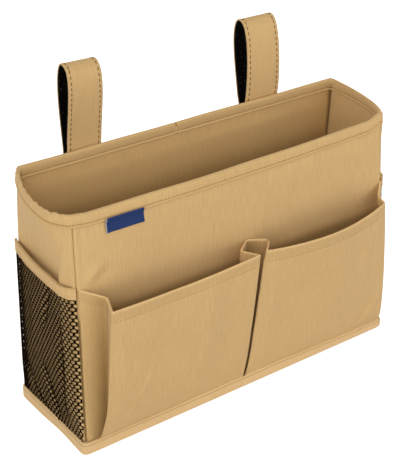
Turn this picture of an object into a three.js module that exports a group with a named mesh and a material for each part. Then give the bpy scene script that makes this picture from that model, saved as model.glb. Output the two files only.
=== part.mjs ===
// Bedside caddy sewn from woven cloth over stiffener boards, in millimetres.
// X runs to the right, the front faces -Y, Z is up. The origin is the middle of the base's underside.
import * as THREE from 'three';

// Body
const bodyWidth = 300;
const bodyHeight = 210;
const baseDepth = 92;
const rimDepth = 80;

// Layers
const clothThickness = 0.7;
const sideThickness = 1.2;
const boardThickness = 2;
const layerGap = 0.3;

// Soft sides: how far they stand out at the rim, and how far they draw in behind the mesh
const leftBelly = 13;
const rightBelly = 3.5;
const sideTuck = 4;
const tuckHeight = 120;
const bellyPeakShare = 0.62;
const bellyBackPower = 2;
const bellyFrontPower = 3;
const bellyRisePower = 1.6;

// Rim hem and base binding
const hemHeight = 12.5;
const bindingHeight = 11;
const bindingThickness = 3;
const foldRadius = 0.5;

// Mesh side pockets
const meshThickness = 0.9;
const meshTopHeight = 147.5;
const meshBindingHeight = 10.5;
const meshBottomBelly = 0.5;
const meshTopBelly = 6.2;
const meshColumns = 9;
const meshRows = 13;
const meshHoleShare = 0.41;

// Front pockets: how far each top corner stands out from the wall
const pocketTopHeight = 141;
const pocketAttachRise = 6;
const pocketHemHeight = 9;
const pocketSwellPower = 0.76;
const pocketBowPower = 0.8;
const pocketSeamStandOff = 3;
const leftPocketOuterStandOff = 28.8;
const leftPocketInnerStandOff = 28;
const leftPocketBow = 1;
const rightPocketOuterStandOff = 20;
const rightPocketInnerStandOff = 25.5;
const rightPocketBow = 11;

// Front pocket corners, across the body, at the top edge and at the base seam
const leftPocketOuterTop = -137;
const leftPocketOuterSeam = -135;
const leftPocketInnerTop = 2;
const leftPocketInnerSeam = 1.6;
const rightPocketInnerTop = 7.5;
const rightPocketInnerSeam = 2.6;
const rightPocketOuterTop = 138;
const rightPocketOuterSeam = 146;

// Pleats: where each is sewn to the wall and where it folds, across the body
const pleatCornerInset = 2.5;
const leftOuterFoldTop = -129;
const leftOuterFoldSeam = -121;
const leftInnerFoldTop = -6.7;
const leftInnerFoldSeam = -14;
const rightInnerFoldTop = 16;
const rightInnerFoldSeam = 19.5;
const rightOuterFoldTop = 133;
const rightOuterFoldSeam = 126;
const stripLeftTop = 6.3;
const stripLeftSeam = 4.2;
const stripRightTop = 27;
const stripRightSeam = 9;
const pleatFoldShare = 0.38;

// Sewn tab under the front hem
const tabLength = 33.5;
const tabHeight = 11.5;
const tabLeftInset = 31;
const tabThickness = 0.6;

// Strap loops
const strapWidth = 32.5;
const strapThickness = 1.4;
const tapeThickness = 0.9;
const tapeInset = 0.6;
const leftStrapX = -87;
const rightStrapX = 83;
const strapRootDrop = 25;
const strapShoulder = 3;
const leftStrapRise = 73;
const leftStrapLean = 8.5;
const leftFrontReach = 18.5;
const leftRearReach = 8.5;
const leftRearThroat = 7.5;
const rightStrapRise = 64;
const rightStrapLean = 16.5;
const rightFrontReach = 12.5;
const rightRearReach = 7;
const rightRearThroat = 11;
const loopFrontHandleShare = 0.42;
const loopRearHandleShare = 0.5;
const loopRearBulgeShare = 0.8;
const throatDrop = 5;
const patchTopDrop = 28;
const patchHeight = 32;
const patchThickness = 1;

// Finishes
const tan = { color: 0xc9a371, roughness: 0.85, metalness: 0 };
const tanBright = { color: 0xdcb785, roughness: 0.85, metalness: 0 };
const tanLining = { color: 0xb08c5c, roughness: 0.9, metalness: 0 };
const boardGrey = { color: 0x8c8a84, roughness: 0.7, metalness: 0 };
const netBlack = { color: 0x17120e, roughness: 0.7, metalness: 0 };
const tapeBlack = { color: 0x100c0a, roughness: 1, metalness: 0 };
const tabBlue = { color: 0x1f3a72, roughness: 0.75, metalness: 0 };

// Worked out from the sizes above
const halfWidth = bodyWidth / 2;
const backFace = baseDepth / 2;
const wallStack = 2 * clothThickness + boardThickness + 2 * layerGap;
const wallTop = bodyHeight - clothThickness - layerGap;
const hemLow = bodyHeight - hemHeight;
const panelHalfWidth = halfWidth - sideThickness - clothThickness - 2 * layerGap;
const baseStack = wallStack;
const seamHeight = bindingHeight + layerGap;
const pocketAttachHeight = pocketTopHeight + pocketAttachRise;
const sideSteps = 12;
const left = -1;
const right = 1;

function mix(from, to, share) {
  return from + (to - from) * share;
}

function smooth(share) {
  return share * share * (3 - 2 * share);
}

// The front wall leans back from the base depth to the rim depth; the back wall is upright.
function frontFaceY(z) {
  return -backFace + (baseDepth - rimDepth) * (z / bodyHeight);
}

function backFaceY() {
  return backFace;
}

const frontWall = { faceY: frontFaceY, inward: 1 };
const backWall = { faceY: backFaceY, inward: -1 };

// Share of the belly from the back corner (0) to the front corner (1).
function bellyShape(along) {
  if (along < bellyPeakShare) {
    return 1 - ((bellyPeakShare - along) / bellyPeakShare) ** bellyBackPower;
  }
  return 1 - ((along - bellyPeakShare) / (1 - bellyPeakShare)) ** bellyFrontPower;
}

// How far a side stands out at height z, before the belly shape; the hem itself stands upright.
function sideBelly(side, z) {
  const rimBelly = side === left ? leftBelly : rightBelly;
  if (z > tuckHeight) {
    const share = Math.min((z - tuckHeight) / (hemLow - tuckHeight), 1);
    return -sideTuck + (rimBelly + sideTuck) * share ** bellyRisePower;
  }
  return -sideTuck * smooth(z / tuckHeight);
}

function meshBelly(side, z) {
  return mix(meshBottomBelly, meshTopBelly, (z - seamHeight) / (meshTopHeight - seamHeight));
}

// A point of a side piece: along runs from the back corner to the front one, inset is measured inwards.
function sidePoint(side, belly, along, inset, z) {
  const x = halfWidth + belly(side, z) * bellyShape(along) - inset;
  return [side * x, mix(backFace, frontFaceY(z), along), z];
}

// The same for a hem that passes both corners by overhang: its first and last steps lie past them.
function hemPoint(side, share, inset, z, overhang) {
  const step = Math.round(share * (sideSteps + 2)) - 1;
  const along = Math.min(Math.max(step / sideSteps, 0), 1);
  const [x, y] = sidePoint(side, sideBelly, along, inset, z);
  if (step < 0) {
    return [x, y + overhang, z];
  }
  return [x, step > sideSteps ? y - overhang : y, z];
}

// Makes a geometry from points and triangles, turned so that its faces point out.
function closedGeometry(points, triangles) {
  let volume = 0;
  const [a, b, c] = [new THREE.Vector3(), new THREE.Vector3(), new THREE.Vector3()];
  for (const [i, j, k] of triangles) {
    a.fromArray(points[i]);
    b.fromArray(points[j]);
    c.fromArray(points[k]);
    volume += a.dot(b.cross(c));
  }
  const indices = triangles.flatMap(([i, j, k]) => (volume < 0 ? [i, k, j] : [i, j, k]));
  const geometry = new THREE.BufferGeometry();
  geometry.setAttribute('position', new THREE.Float32BufferAttribute(points.flat(), 3));
  geometry.setIndex(indices);
  geometry.computeVertexNormals();
  return geometry;
}

// A closed sheet between two faces, each a function of u and v from 0 to 1.
function sheet(uSteps, vSteps, outerFace, innerFace) {
  const points = [];
  const triangles = [];
  const row = uSteps + 1;
  const layer = row * (vSteps + 1);
  for (const face of [outerFace, innerFace]) {
    for (let v = 0; v <= vSteps; v++) {
      for (let u = 0; u <= uSteps; u++) {
        points.push(face(u / uSteps, v / vSteps));
      }
    }
  }
  const outer = (u, v) => v * row + u;
  const inner = (u, v) => layer + v * row + u;
  const quad = (i, j, k, l) => triangles.push([i, j, k], [i, k, l]);
  for (let v = 0; v < vSteps; v++) {
    for (let u = 0; u < uSteps; u++) {
      quad(outer(u, v), outer(u + 1, v), outer(u + 1, v + 1), outer(u, v + 1));
      quad(inner(u, v), inner(u, v + 1), inner(u + 1, v + 1), inner(u + 1, v));
    }
  }
  for (let u = 0; u < uSteps; u++) {
    quad(outer(u, 0), inner(u, 0), inner(u + 1, 0), outer(u + 1, 0));
    quad(outer(u + 1, vSteps), inner(u + 1, vSteps), inner(u, vSteps), outer(u, vSteps));
  }
  for (let v = 0; v < vSteps; v++) {
    quad(outer(0, v + 1), inner(0, v + 1), inner(0, v), outer(0, v));
    quad(outer(uSteps, v), inner(uSteps, v), inner(uSteps, v + 1), outer(uSteps, v + 1));
  }
  return closedGeometry(points, triangles);
}

// A closed bar: a flat outline carried along a path and capped at both ends.
function bar(outline, steps, place) {
  const corners = outline.map(([across, rise]) => new THREE.Vector2(across, rise));
  if (THREE.ShapeUtils.isClockWise(corners)) {
    corners.reverse();
  }
  const count = corners.length;
  const points = [];
  const triangles = [];
  for (let step = 0; step <= steps; step++) {
    for (const corner of corners) {
      points.push(place(step / steps, corner.x, corner.y));
    }
  }
  for (let step = 0; step < steps; step++) {
    for (let corner = 0; corner < count; corner++) {
      const next = (corner + 1) % count;
      const here = step * count;
      const there = here + count;
      triangles.push([here + corner, here + next, there + next]);
      triangles.push([here + corner, there + next, there + corner]);
    }
  }
  const end = steps * count;
  for (const [i, j, k] of THREE.ShapeUtils.triangulateShape(corners, [])) {
    triangles.push([i, k, j]);
    triangles.push([end + i, end + j, end + k]);
  }
  return closedGeometry(points, triangles);
}

// A closed net: a grid of cells, each with a diamond hole, under one plain row along the top.
function net(columns, rows, outerFace, innerFace) {
  const points = [];
  const triangles = [];
  const layers = [outerFace, innerFace].map((face) => {
    const corners = [];
    const holes = [];
    for (let v = 0; v <= rows + 1; v++) {
      for (let u = 0; u <= columns; u++) {
        corners.push(points.push(face(u, v)) - 1);
      }
    }
    for (let v = 0; v < rows; v++) {
      for (let u = 0; u < columns; u++) {
        const low = points.push(face(u + 0.5, v + 0.5 - meshHoleShare)) - 1;
        const high = points.push(face(u + 0.5 + meshHoleShare, v + 0.5)) - 1;
        points.push(face(u + 0.5, v + 0.5 + meshHoleShare));
        points.push(face(u + 0.5 - meshHoleShare, v + 0.5));
        holes.push([low, high, high + 1, high + 2]);
      }
    }
    return { corners, holes };
  });
  const row = columns + 1;
  const add = (flip, i, j, k) => triangles.push(flip ? [i, k, j] : [i, j, k]);
  layers.forEach(({ corners, holes }, layer) => {
    const flip = layer === 1;
    for (let v = 0; v <= rows; v++) {
      for (let u = 0; u < columns; u++) {
        const start = v * row + u;
        const cell = [start, start + 1, start + row + 1, start + row].map((i) => corners[i]);
        if (v === rows) {
          add(flip, cell[0], cell[1], cell[2]);
          add(flip, cell[0], cell[2], cell[3]);
          continue;
        }
        const hole = holes[v * columns + u];
        for (let side = 0; side < 4; side++) {
          const next = (side + 1) % 4;
          add(flip, cell[side], cell[next], hole[side]);
          add(flip, cell[next], hole[next], hole[side]);
        }
      }
    }
  });
  const [outer, inner] = layers;
  outer.holes.forEach((hole, index) => {
    const back = inner.holes[index];
    for (let side = 0; side < 4; side++) {
      const next = (side + 1) % 4;
      triangles.push([hole[side], hole[next], back[next]], [hole[side], back[next], back[side]]);
    }
  });
  const rim = [];
  for (let u = 0; u < columns; u++) rim.push(u);
  for (let v = 0; v <= rows; v++) rim.push(v * row + columns);
  for (let u = columns; u > 0; u--) rim.push((rows + 1) * row + u);
  for (let v = rows + 1; v > 0; v--) rim.push(v * row);
  rim.forEach((here, index) => {
    const next = rim[(index + 1) % rim.length];
    const [a, b, c, d] = [outer.corners[here], outer.corners[next], inner.corners[next], inner.corners[here]];
    triangles.push([b, a, d], [b, d, c]);
  });
  return closedGeometry(points, triangles);
}

function makePiece(group, name, geometry, finish) {
  const mesh = new THREE.Mesh(geometry, new THREE.MeshStandardMaterial(finish));
  mesh.name = name;
  group.add(mesh);
}

// One flat layer of a front or back wall, set inset behind its outer face.
function wallLayer(wall, inset, thickness, reach, low, high) {
  const face = (depth) => (u, v) => {
    const z = mix(low, high, v);
    return [mix(-reach, reach, u), wall.faceY(z) + wall.inward * depth, z];
  };
  return sheet(1, 1, face(inset), face(inset + thickness));
}

function addWall(group, wall, name) {
  const boardInset = clothThickness + layerGap;
  const liningInset = boardInset + boardThickness + layerGap;
  const inside = baseStack + layerGap;
  const boardReach = panelHalfWidth - layerGap;
  const outerCloth = wallLayer(wall, 0, clothThickness, panelHalfWidth, 0, wallTop);
  const stiffener = wallLayer(wall, boardInset, boardThickness, boardReach, inside, wallTop);
  const lining = wallLayer(wall, liningInset, clothThickness, panelHalfWidth, inside, wallTop);
  makePiece(group, `${name}_panel`, outerCloth, tan);
  makePiece(group, `${name}_board`, stiffener, boardGrey);
  makePiece(group, `${name}_lining`, lining, tanLining);
}

// The folded rim hem: an upside-down U over a wall of the given stack.
function hemOutline(stack, low, high) {
  const outer = -layerGap - clothThickness;
  const inner = stack - outer;
  return [
    [outer, low],
    [outer, high - foldRadius],
    [outer + foldRadius, high],
    [inner - foldRadius, high],
    [inner, high - foldRadius],
    [inner, low],
    [inner - clothThickness, low],
    [inner - clothThickness, high - clothThickness],
    [outer + clothThickness, high - clothThickness],
    [outer + clothThickness, low],
  ];
}

function addStraightHem(group, wall, name) {
  const outline = hemOutline(wallStack, hemLow, bodyHeight);
  const geometry = bar(outline, 1, (along, inset, z) => [
    mix(-panelHalfWidth, panelHalfWidth, along),
    wall.faceY(z) + wall.inward * inset,
    z,
  ]);
  makePiece(group, name, geometry, tan);
}

// The binding over the base seam: a flat strip with a rounded upper edge.
function bindingOutline() {
  const inner = -layerGap;
  const outer = inner - bindingThickness;
  return [
    [outer, 0],
    [outer, bindingHeight - foldRadius],
    [outer + foldRadius, bindingHeight],
    [inner, bindingHeight],
    [inner, 0],
  ];
}

function addStraightBinding(group, wall, name) {
  const geometry = bar(bindingOutline(), 1, (along, inset, z) => [
    mix(-halfWidth, halfWidth, along),
    wall.faceY(0) + wall.inward * inset,
    z,
  ]);
  makePiece(group, name, geometry, tanBright);
}

function addBase(group) {
  const boardLow = clothThickness + layerGap;
  const liningLow = boardLow + boardThickness + layerGap;
  const wallInset = clothThickness + layerGap;
  const layers = [
    ['base_panel', 0, clothThickness, tan],
    ['base_board', boardLow, boardThickness, boardGrey],
    ['base_lining', liningLow, clothThickness, tanLining],
  ];
  for (const [name, low, thickness, finish] of layers) {
    const high = low + thickness;
    const front = frontFaceY(high) + wallInset;
    const back = backFace - wallInset;
    const face = (z) => (u, v) => [mix(-panelHalfWidth, panelHalfWidth, u), mix(front, back, v), z];
    makePiece(group, name, sheet(1, 1, face(high), face(low)), finish);
  }
}

// Side panel, its rim hem, its base binding and the mesh pocket outside it.
function addSide(group, side, name) {
  const riseSteps = 9;
  const lastRow = 1 - 1 / riseSteps;
  const rowHeight = (v) => (v > lastRow ? wallTop : hemLow * (v / lastRow));
  const panelFace = (inset) => (u, v) => sidePoint(side, sideBelly, u, inset, rowHeight(v));
  const panel = sheet(sideSteps, riseSteps, panelFace(0), panelFace(sideThickness));
  makePiece(group, `side_panel_${name}`, panel, tan);

  const hemOverhang = layerGap + clothThickness;
  const hem = bar(hemOutline(sideThickness, hemLow, bodyHeight), sideSteps + 2,
    (share, inset, z) => hemPoint(side, share, inset, z, hemOverhang));
  makePiece(group, `rim_hem_${name}`, hem, tan);

  const cornerOverhang = layerGap + bindingThickness;
  const binding = bar(bindingOutline(), 1, (along, inset, z) => {
    const y = mix(backFace + cornerOverhang, -backFace - cornerOverhang, along);
    return [side * (halfWidth - inset), y, z];
  });
  makePiece(group, `base_binding_${name}`, binding, tanBright);

  const meshInset = -2 * layerGap - clothThickness - meshThickness;
  const meshHigh = meshTopHeight - clothThickness - layerGap;
  const plainLow = meshTopHeight - meshBindingHeight;
  const meshFace = (inset) => (column, line) => {
    const z = line > meshRows ? meshHigh : mix(seamHeight, plainLow, line / meshRows);
    return sidePoint(side, meshBelly, column / meshColumns, inset, z);
  };
  const mesh = net(meshColumns, meshRows, meshFace(meshInset), meshFace(meshInset + meshThickness));
  makePiece(group, `mesh_pocket_${name}`, mesh, netBlack);

  const bindingShape = hemOutline(meshThickness, meshTopHeight - meshBindingHeight, meshTopHeight);
  const meshBinding = bar(bindingShape, meshColumns,
    (along, inset, z) => sidePoint(side, meshBelly, along, inset + meshInset, z));
  makePiece(group, `mesh_binding_${name}`, meshBinding, tan);
}

// Front pockets: rise runs from the base seam (0) to the top edge (1).
const leftPocket = {
  name: 'left',
  seam: [leftPocketOuterSeam, leftPocketInnerSeam],
  top: [leftPocketOuterTop, leftPocketInnerTop],
  standOff: [leftPocketOuterStandOff, leftPocketInnerStandOff],
  bow: leftPocketBow,
};
const rightPocket = {
  name: 'right',
  seam: [rightPocketInnerSeam, rightPocketOuterSeam],
  top: [rightPocketInnerTop, rightPocketOuterTop],
  standOff: [rightPocketInnerStandOff, rightPocketOuterStandOff],
  bow: rightPocketBow,
};

// A point of a pocket cloth, behind its outer face by inset.
function pocketPoint(pocket, across, rise, inset) {
  const z = mix(seamHeight, pocketTopHeight, rise);
  const x = mix(mix(...pocket.seam, across), mix(...pocket.top, across), rise);
  const bow = pocket.bow * Math.sin(Math.PI * across) ** pocketBowPower;
  const topStandOff = mix(...pocket.standOff, across) + bow;
  const standOff = mix(pocketSeamStandOff, topStandOff, rise ** pocketSwellPower);
  return [x, frontFaceY(z) - standOff + inset, z];
}

function addPocket(group, pocket) {
  const acrossSteps = 10;
  const riseSteps = 8;
  const face = (inset) => (u, v) => pocketPoint(pocket, u, v, inset);
  const front = sheet(acrossSteps, riseSteps, face(0), face(clothThickness));
  makePiece(group, `pocket_front_${pocket.name}`, front, tan);

  const foldShare = 1 - pocketHemHeight / (pocketTopHeight - seamHeight);
  const hemInset = clothThickness + layerGap;
  const hemFace = (inset) => (u, v) => pocketPoint(pocket, u, mix(foldShare, 1, v), inset);
  const hem = sheet(acrossSteps, 1, hemFace(hemInset), hemFace(hemInset + clothThickness));
  makePiece(group, `pocket_hem_${pocket.name}`, hem, tan);
}

// A pleat: sewn to the wall at one end, folded once, and meeting the pocket's edge at the other.
function addPleat(group, name, pocket, pocketEnd, wallX, foldX) {
  const riseSteps = 8;
  const foldSpacing = clothThickness + layerGap;
  const centreInset = layerGap + clothThickness / 2;
  const route = (rise) => {
    const wallZ = mix(seamHeight, pocketAttachHeight, rise);
    const hemStack = clothThickness + layerGap;
    const behindPocket = clothThickness + hemStack + layerGap + clothThickness / 2;
    const edge = pocketPoint(pocket, pocketEnd, rise, mix(clothThickness + centreInset, behindPocket, rise));
    const foldZ = (wallZ + edge[2]) / 2;
    const wallY = frontFaceY(wallZ) - centreInset;
    const foldY = wallY + (edge[1] - wallY + foldSpacing) * pleatFoldShare;
    const towardsFold = Math.sign(mix(...foldX, rise) - edge[0]);
    const edgeX = edge[0] + towardsFold * (clothThickness + layerGap);
    return [
      [mix(...wallX, rise), wallY, wallZ],
      [mix(...foldX, rise), foldY, foldZ],
      [mix(...foldX, rise), foldY - foldSpacing, foldZ],
      [edgeX, edge[1], edge[2]],
    ];
  };
  const face = (offset) => (u, v) => foldedPoint(route(v), Math.round(u * 3), offset);
  makePiece(group, name, sheet(3, riseSteps, face(clothThickness / 2), face(-clothThickness / 2)), tan);
}

// A corner of a folded cloth, moved sideways by offset so that each stretch keeps its thickness.
function foldedPoint(route, index, offset) {
  const headings = [];
  for (let i = 1; i < route.length; i++) {
    headings.push(new THREE.Vector2(route[i][0] - route[i - 1][0], route[i][1] - route[i - 1][1]).normalize());
  }
  const before = headings[Math.max(index - 1, 0)];
  const after = headings[Math.min(index, headings.length - 1)];
  const sideways = new THREE.Vector2(-before.y - after.y, before.x + after.x).normalize();
  const stretch = offset / sideways.dot(new THREE.Vector2(-after.y, after.x));
  const [x, y, z] = route[index];
  return [x + sideways.x * stretch, y + sideways.y * stretch, z];
}

function addPocketFolds(group) {
  const corner = halfWidth - pleatCornerInset;
  const besideStrip = layerGap + 2 * clothThickness;
  const inner = 1;
  const outer = 0;
  addPleat(group, 'pocket_pleat_left_outer', leftPocket, outer,
    [-corner, -corner], [leftOuterFoldSeam, leftOuterFoldTop]);
  addPleat(group, 'pocket_pleat_left_inner', leftPocket, inner,
    [stripLeftSeam - layerGap, stripLeftTop - layerGap], [leftInnerFoldSeam, leftInnerFoldTop]);
  addPleat(group, 'pocket_pleat_right_inner', rightPocket, outer,
    [stripRightSeam + besideStrip, stripRightTop + besideStrip], [rightInnerFoldSeam, rightInnerFoldTop]);
  addPleat(group, 'pocket_pleat_right_outer', rightPocket, inner,
    [corner, corner], [rightOuterFoldSeam, rightOuterFoldTop]);
  const face = (inset) => (u, v) => {
    const z = mix(seamHeight, pocketAttachHeight, v);
    const x = mix(mix(stripLeftSeam, stripLeftTop, v), mix(stripRightSeam, stripRightTop, v), u);
    return [x, frontFaceY(z) - inset, z];
  };
  const strip = sheet(1, 1, face(layerGap + clothThickness), face(layerGap));
  makePiece(group, 'pocket_centre_strip', strip, tan);
}

function addTab(group) {
  const low = hemLow - layerGap - tabHeight;
  const face = (inset) => (u, v) => {
    const z = mix(low, low + tabHeight, v);
    return [-halfWidth + tabLeftInset + tabLength * u, frontFaceY(z) - inset, z];
  };
  makePiece(group, 'sewn_tab', sheet(1, 1, face(layerGap + tabThickness), face(layerGap)), tabBlue);
}

// The same line moved to its right-hand side by distance; it runs level at the loop's top.
function offsetLine(line, distance) {
  const top = Math.max(...line.map((point) => point.y));
  return line.map((point, index) => {
    const before = line[Math.max(index - 1, 0)];
    const after = line[Math.min(index + 1, line.length - 1)];
    const heading = after.clone().sub(before).normalize();
    if (point.y === top) {
      heading.set(1, 0);
    }
    return new THREE.Vector2(point.x + heading.y * distance, point.y - heading.x * distance);
  });
}

// A ribbon seen from its edge, from inset to inset + thickness beside the line.
function ribbonOutline(line, inset, thickness) {
  const near = offsetLine(line, inset);
  const far = offsetLine(line, inset + thickness).reverse();
  return [...near, ...far].map((point) => [point.x, point.y]);
}

// A strap loop: y is measured from the back wall's face and z from the rim.
function strapLines({ rise, lean, frontReach, rearReach, throat }) {
  const hemFace = layerGap + clothThickness + layerGap;
  const apex = rise;
  const cut = layerGap / 2;
  const frontRun = new THREE.CubicBezierCurve(
    new THREE.Vector2(hemFace, strapShoulder),
    new THREE.Vector2(hemFace, rise * loopFrontHandleShare),
    new THREE.Vector2(lean - frontReach, apex),
    new THREE.Vector2(lean - cut, apex),
  );
  const rearRun = new THREE.CubicBezierCurve(
    new THREE.Vector2(lean + cut, apex),
    new THREE.Vector2(lean + rearReach, apex),
    new THREE.Vector2(mix(throat, lean + rearReach, loopRearBulgeShare), rise * loopRearHandleShare),
    new THREE.Vector2(throat, -throatDrop),
  );
  const curveSteps = 10;
  const tailY = layerGap + patchThickness + layerGap + tapeThickness + layerGap + strapThickness;
  const front = [
    new THREE.Vector2(layerGap, -strapRootDrop),
    new THREE.Vector2(layerGap, -hemHeight - layerGap - clothThickness),
    new THREE.Vector2(hemFace, -hemHeight),
    ...frontRun.getPoints(curveSteps),
  ];
  const rear = [
    ...rearRun.getPoints(curveSteps),
    new THREE.Vector2(tailY, -patchTopDrop),
    new THREE.Vector2(tailY, -patchTopDrop - patchHeight),
  ];
  return { front, rear };
}

function addStrap(group, name, x, shape) {
  const strap = new THREE.Group();
  strap.position.set(x, backFace, bodyHeight);
  group.add(strap);
  const { front, rear } = strapLines(shape);
  const tapeDepth = strapThickness + layerGap;
  const hemPoints = 4;
  const pieces = [
    [`strap_${name}`, front, 0, strapThickness, 0, tan],
    [`strap_tape_${name}`, front.slice(hemPoints), tapeDepth, tapeThickness, tapeInset, tapeBlack],
    [`strap_flap_${name}`, rear, 0, strapThickness, 0, tan],
    [`flap_tape_${name}`, rear, tapeDepth, tapeThickness, tapeInset, tapeBlack],
  ];
  for (const [pieceName, line, depth, thickness, edgeInset, finish] of pieces) {
    const reach = strapWidth / 2 - edgeInset;
    const geometry = bar(ribbonOutline(line, depth, thickness), 1,
      (along, y, z) => [mix(-reach, reach, along), y, z]);
    makePiece(strap, pieceName, geometry, finish);
  }
  const reach = strapWidth / 2;
  const face = (inset) => (u, v) => [mix(-reach, reach, u), inset, -patchTopDrop - patchHeight * v];
  const patch = sheet(1, 1, face(layerGap + patchThickness), face(layerGap));
  makePiece(strap, `hook_patch_${name}`, patch, tapeBlack);
}

const caddy = new THREE.Group();
for (const [wall, name] of [[backWall, 'back'], [frontWall, 'front']]) {
  addWall(caddy, wall, name);
  addStraightHem(caddy, wall, `rim_hem_${name}`);
  addStraightBinding(caddy, wall, `base_binding_${name}`);
}
addBase(caddy);
addSide(caddy, left, 'left');
addSide(caddy, right, 'right');
addPocket(caddy, leftPocket);
addPocket(caddy, rightPocket);
addPocketFolds(caddy);
addTab(caddy);
addStrap(caddy, 'left', leftStrapX, {
  rise: leftStrapRise,
  lean: leftStrapLean,
  frontReach: leftFrontReach,
  rearReach: leftRearReach,
  throat: leftRearThroat,
});
addStrap(caddy, 'right', rightStrapX, {
  rise: rightStrapRise,
  lean: rightStrapLean,
  frontReach: rightFrontReach,
  rearReach: rightRearReach,
  throat: rightRearThroat,
});

export default caddy;
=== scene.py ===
import math
import bmesh
import bpy
import numpy as np
from mathutils import Matrix, Vector


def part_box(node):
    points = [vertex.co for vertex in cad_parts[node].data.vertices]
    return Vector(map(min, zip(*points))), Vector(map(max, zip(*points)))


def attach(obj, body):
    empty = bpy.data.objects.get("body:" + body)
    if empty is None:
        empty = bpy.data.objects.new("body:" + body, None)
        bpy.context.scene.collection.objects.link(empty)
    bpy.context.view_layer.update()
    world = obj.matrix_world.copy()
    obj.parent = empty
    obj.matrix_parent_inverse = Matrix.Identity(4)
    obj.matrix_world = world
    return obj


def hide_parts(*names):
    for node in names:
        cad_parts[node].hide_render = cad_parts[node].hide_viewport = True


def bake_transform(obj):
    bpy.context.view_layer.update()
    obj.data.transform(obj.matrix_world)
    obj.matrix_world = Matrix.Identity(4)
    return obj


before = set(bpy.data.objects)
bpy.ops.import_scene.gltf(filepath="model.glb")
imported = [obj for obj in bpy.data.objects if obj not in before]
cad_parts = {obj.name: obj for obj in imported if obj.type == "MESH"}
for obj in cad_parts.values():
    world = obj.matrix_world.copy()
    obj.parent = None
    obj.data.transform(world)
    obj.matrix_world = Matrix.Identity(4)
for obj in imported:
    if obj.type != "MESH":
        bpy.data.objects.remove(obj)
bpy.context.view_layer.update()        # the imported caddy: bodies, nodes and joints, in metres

mm = 0.001  # shapes are worked out in millimetres and written to the meshes in metres
print("frame loaded")


# Small helpers for shapes

def mix(start, end, share):  # the value a share of the way from start to end
    return start + (end - start) * share


def smoothStep(share):  # three squares less two cubes: 0 up to 0, 1 from 1 on, level at both
    share = np.clip(share, 0, 1)
    return share * share * (3 - 2 * share)


def bump(place, middle, width):  # a bell curve of height 1
    return np.exp(-((place - middle) / width) ** 2)


noise = dict(waves=6, lengths=(0.6, 1.6), fullHeight=3.5)
creaseEnds = (0.1, 0.9)  # the part of half a sine wave that a crease's height follows


def softNoise(x, z, length, seed):  # a sum of seeded sine waves in all headings, within about -1 to 1
    draw = np.random.default_rng(seed)
    total = 0
    for _ in range(noise["waves"]):
        heading, phase = draw.uniform(0, 2 * math.pi, 2)
        wave = 2 * math.pi / (length * draw.uniform(*noise["lengths"]))
        total = total + np.sin((x * math.cos(heading) + z * math.sin(heading)) * wave + phase)
    return total / noise["fullHeight"]


def crease(x, z, start, end, width, height):  # a bell-shaped ridge along a line, fading at both ends
    start, end = np.array(start, float), np.array(end, float)
    run = end - start
    share = np.clip(((x - start[0]) * run[0] + (z - start[1]) * run[1]) / (run @ run), 0, 1)
    away = np.hypot(x - start[0] - share * run[0], z - start[1] - share * run[1])
    return height * np.exp(-(away / width) ** 2) * np.sin(math.pi * mix(*creaseEnds, share))


def creases(x, z, values):  # the sum of all creases in a list of (start, end, width, height)
    return sum(crease(x, z, *one) for one in values)


def soften(points, passes, wrap=False):  # rounds the folds along each row with a 1-4-6-4-1 average
    for _ in range(passes):
        if wrap:
            around = [np.roll(points, shift, axis=1) for shift in (2, 1, 0, -1, -2)]
        else:
            before = 2 * points[:, :1] - points[:, 2:0:-1]
            after = 2 * points[:, -1:] - points[:, -2:-4:-1]
            longer = np.concatenate([before, points, after], axis=1)
            around = [longer[:, k:k + points.shape[1]] for k in range(5)]
        points = sum(weight * part for weight, part in zip((1, 4, 6, 4, 1), around)) / 16
    return points


def route(keys, counts):  # straight stretches from key to key, each cut into its own count of steps
    parts = [mix(keys[k][:, None], keys[k + 1][:, None], (np.arange(count) / count)[None, :, None])
             for k, count in enumerate(counts)]
    return np.concatenate(parts + [keys[-1][:, None]], axis=1)


def grid(*columns):  # stacks x, y and z arrays of one shape, or that stretch to one, into points
    return np.stack(np.broadcast_arrays(*columns), axis=-1).astype(float)


def unit(vectors):  # each vector divided by its length
    return vectors / np.maximum(np.linalg.norm(vectors, axis=-1, keepdims=True), 1e-9)


def lengthAlong(line):  # the distance walked from a line's first point to each of its points
    return np.cumsum(np.linalg.norm(np.diff(line, axis=0, prepend=line[:1]), axis=1))


def nearest(places, wanted):  # which of the places lies closest to the one wanted
    return int(np.argmin(np.abs(places - wanted)))


def lookOut(corners, inside):  # true where faces, given by their four corners, mostly look away from a point
    facing = np.cross(corners[:, 2] - corners[:, 0], corners[:, 3] - corners[:, 1])
    return (facing * (corners.mean(axis=1) - inside)).sum() >= 0


def tubeFaces(rings, sides):  # the faces between rings of points, numbered ring by ring
    i, j = np.meshgrid(np.arange(rings - 1), np.arange(sides), indexing="ij")
    after = (j + 1) % sides
    corners = [i * sides + j, i * sides + after, (i + 1) * sides + after, (i + 1) * sides + j]
    return np.stack(corners, -1).reshape(-1, 4)


def planNormals(points, wrap=False):  # level directions square to each row, to its right-hand side
    if wrap:
        run = np.roll(points, -1, axis=1) - np.roll(points, 1, axis=1)
    else:
        run = np.gradient(points, axis=1)
    return unit(grid(run[..., 1], -run[..., 0], np.zeros(run.shape[:2])))


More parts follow.
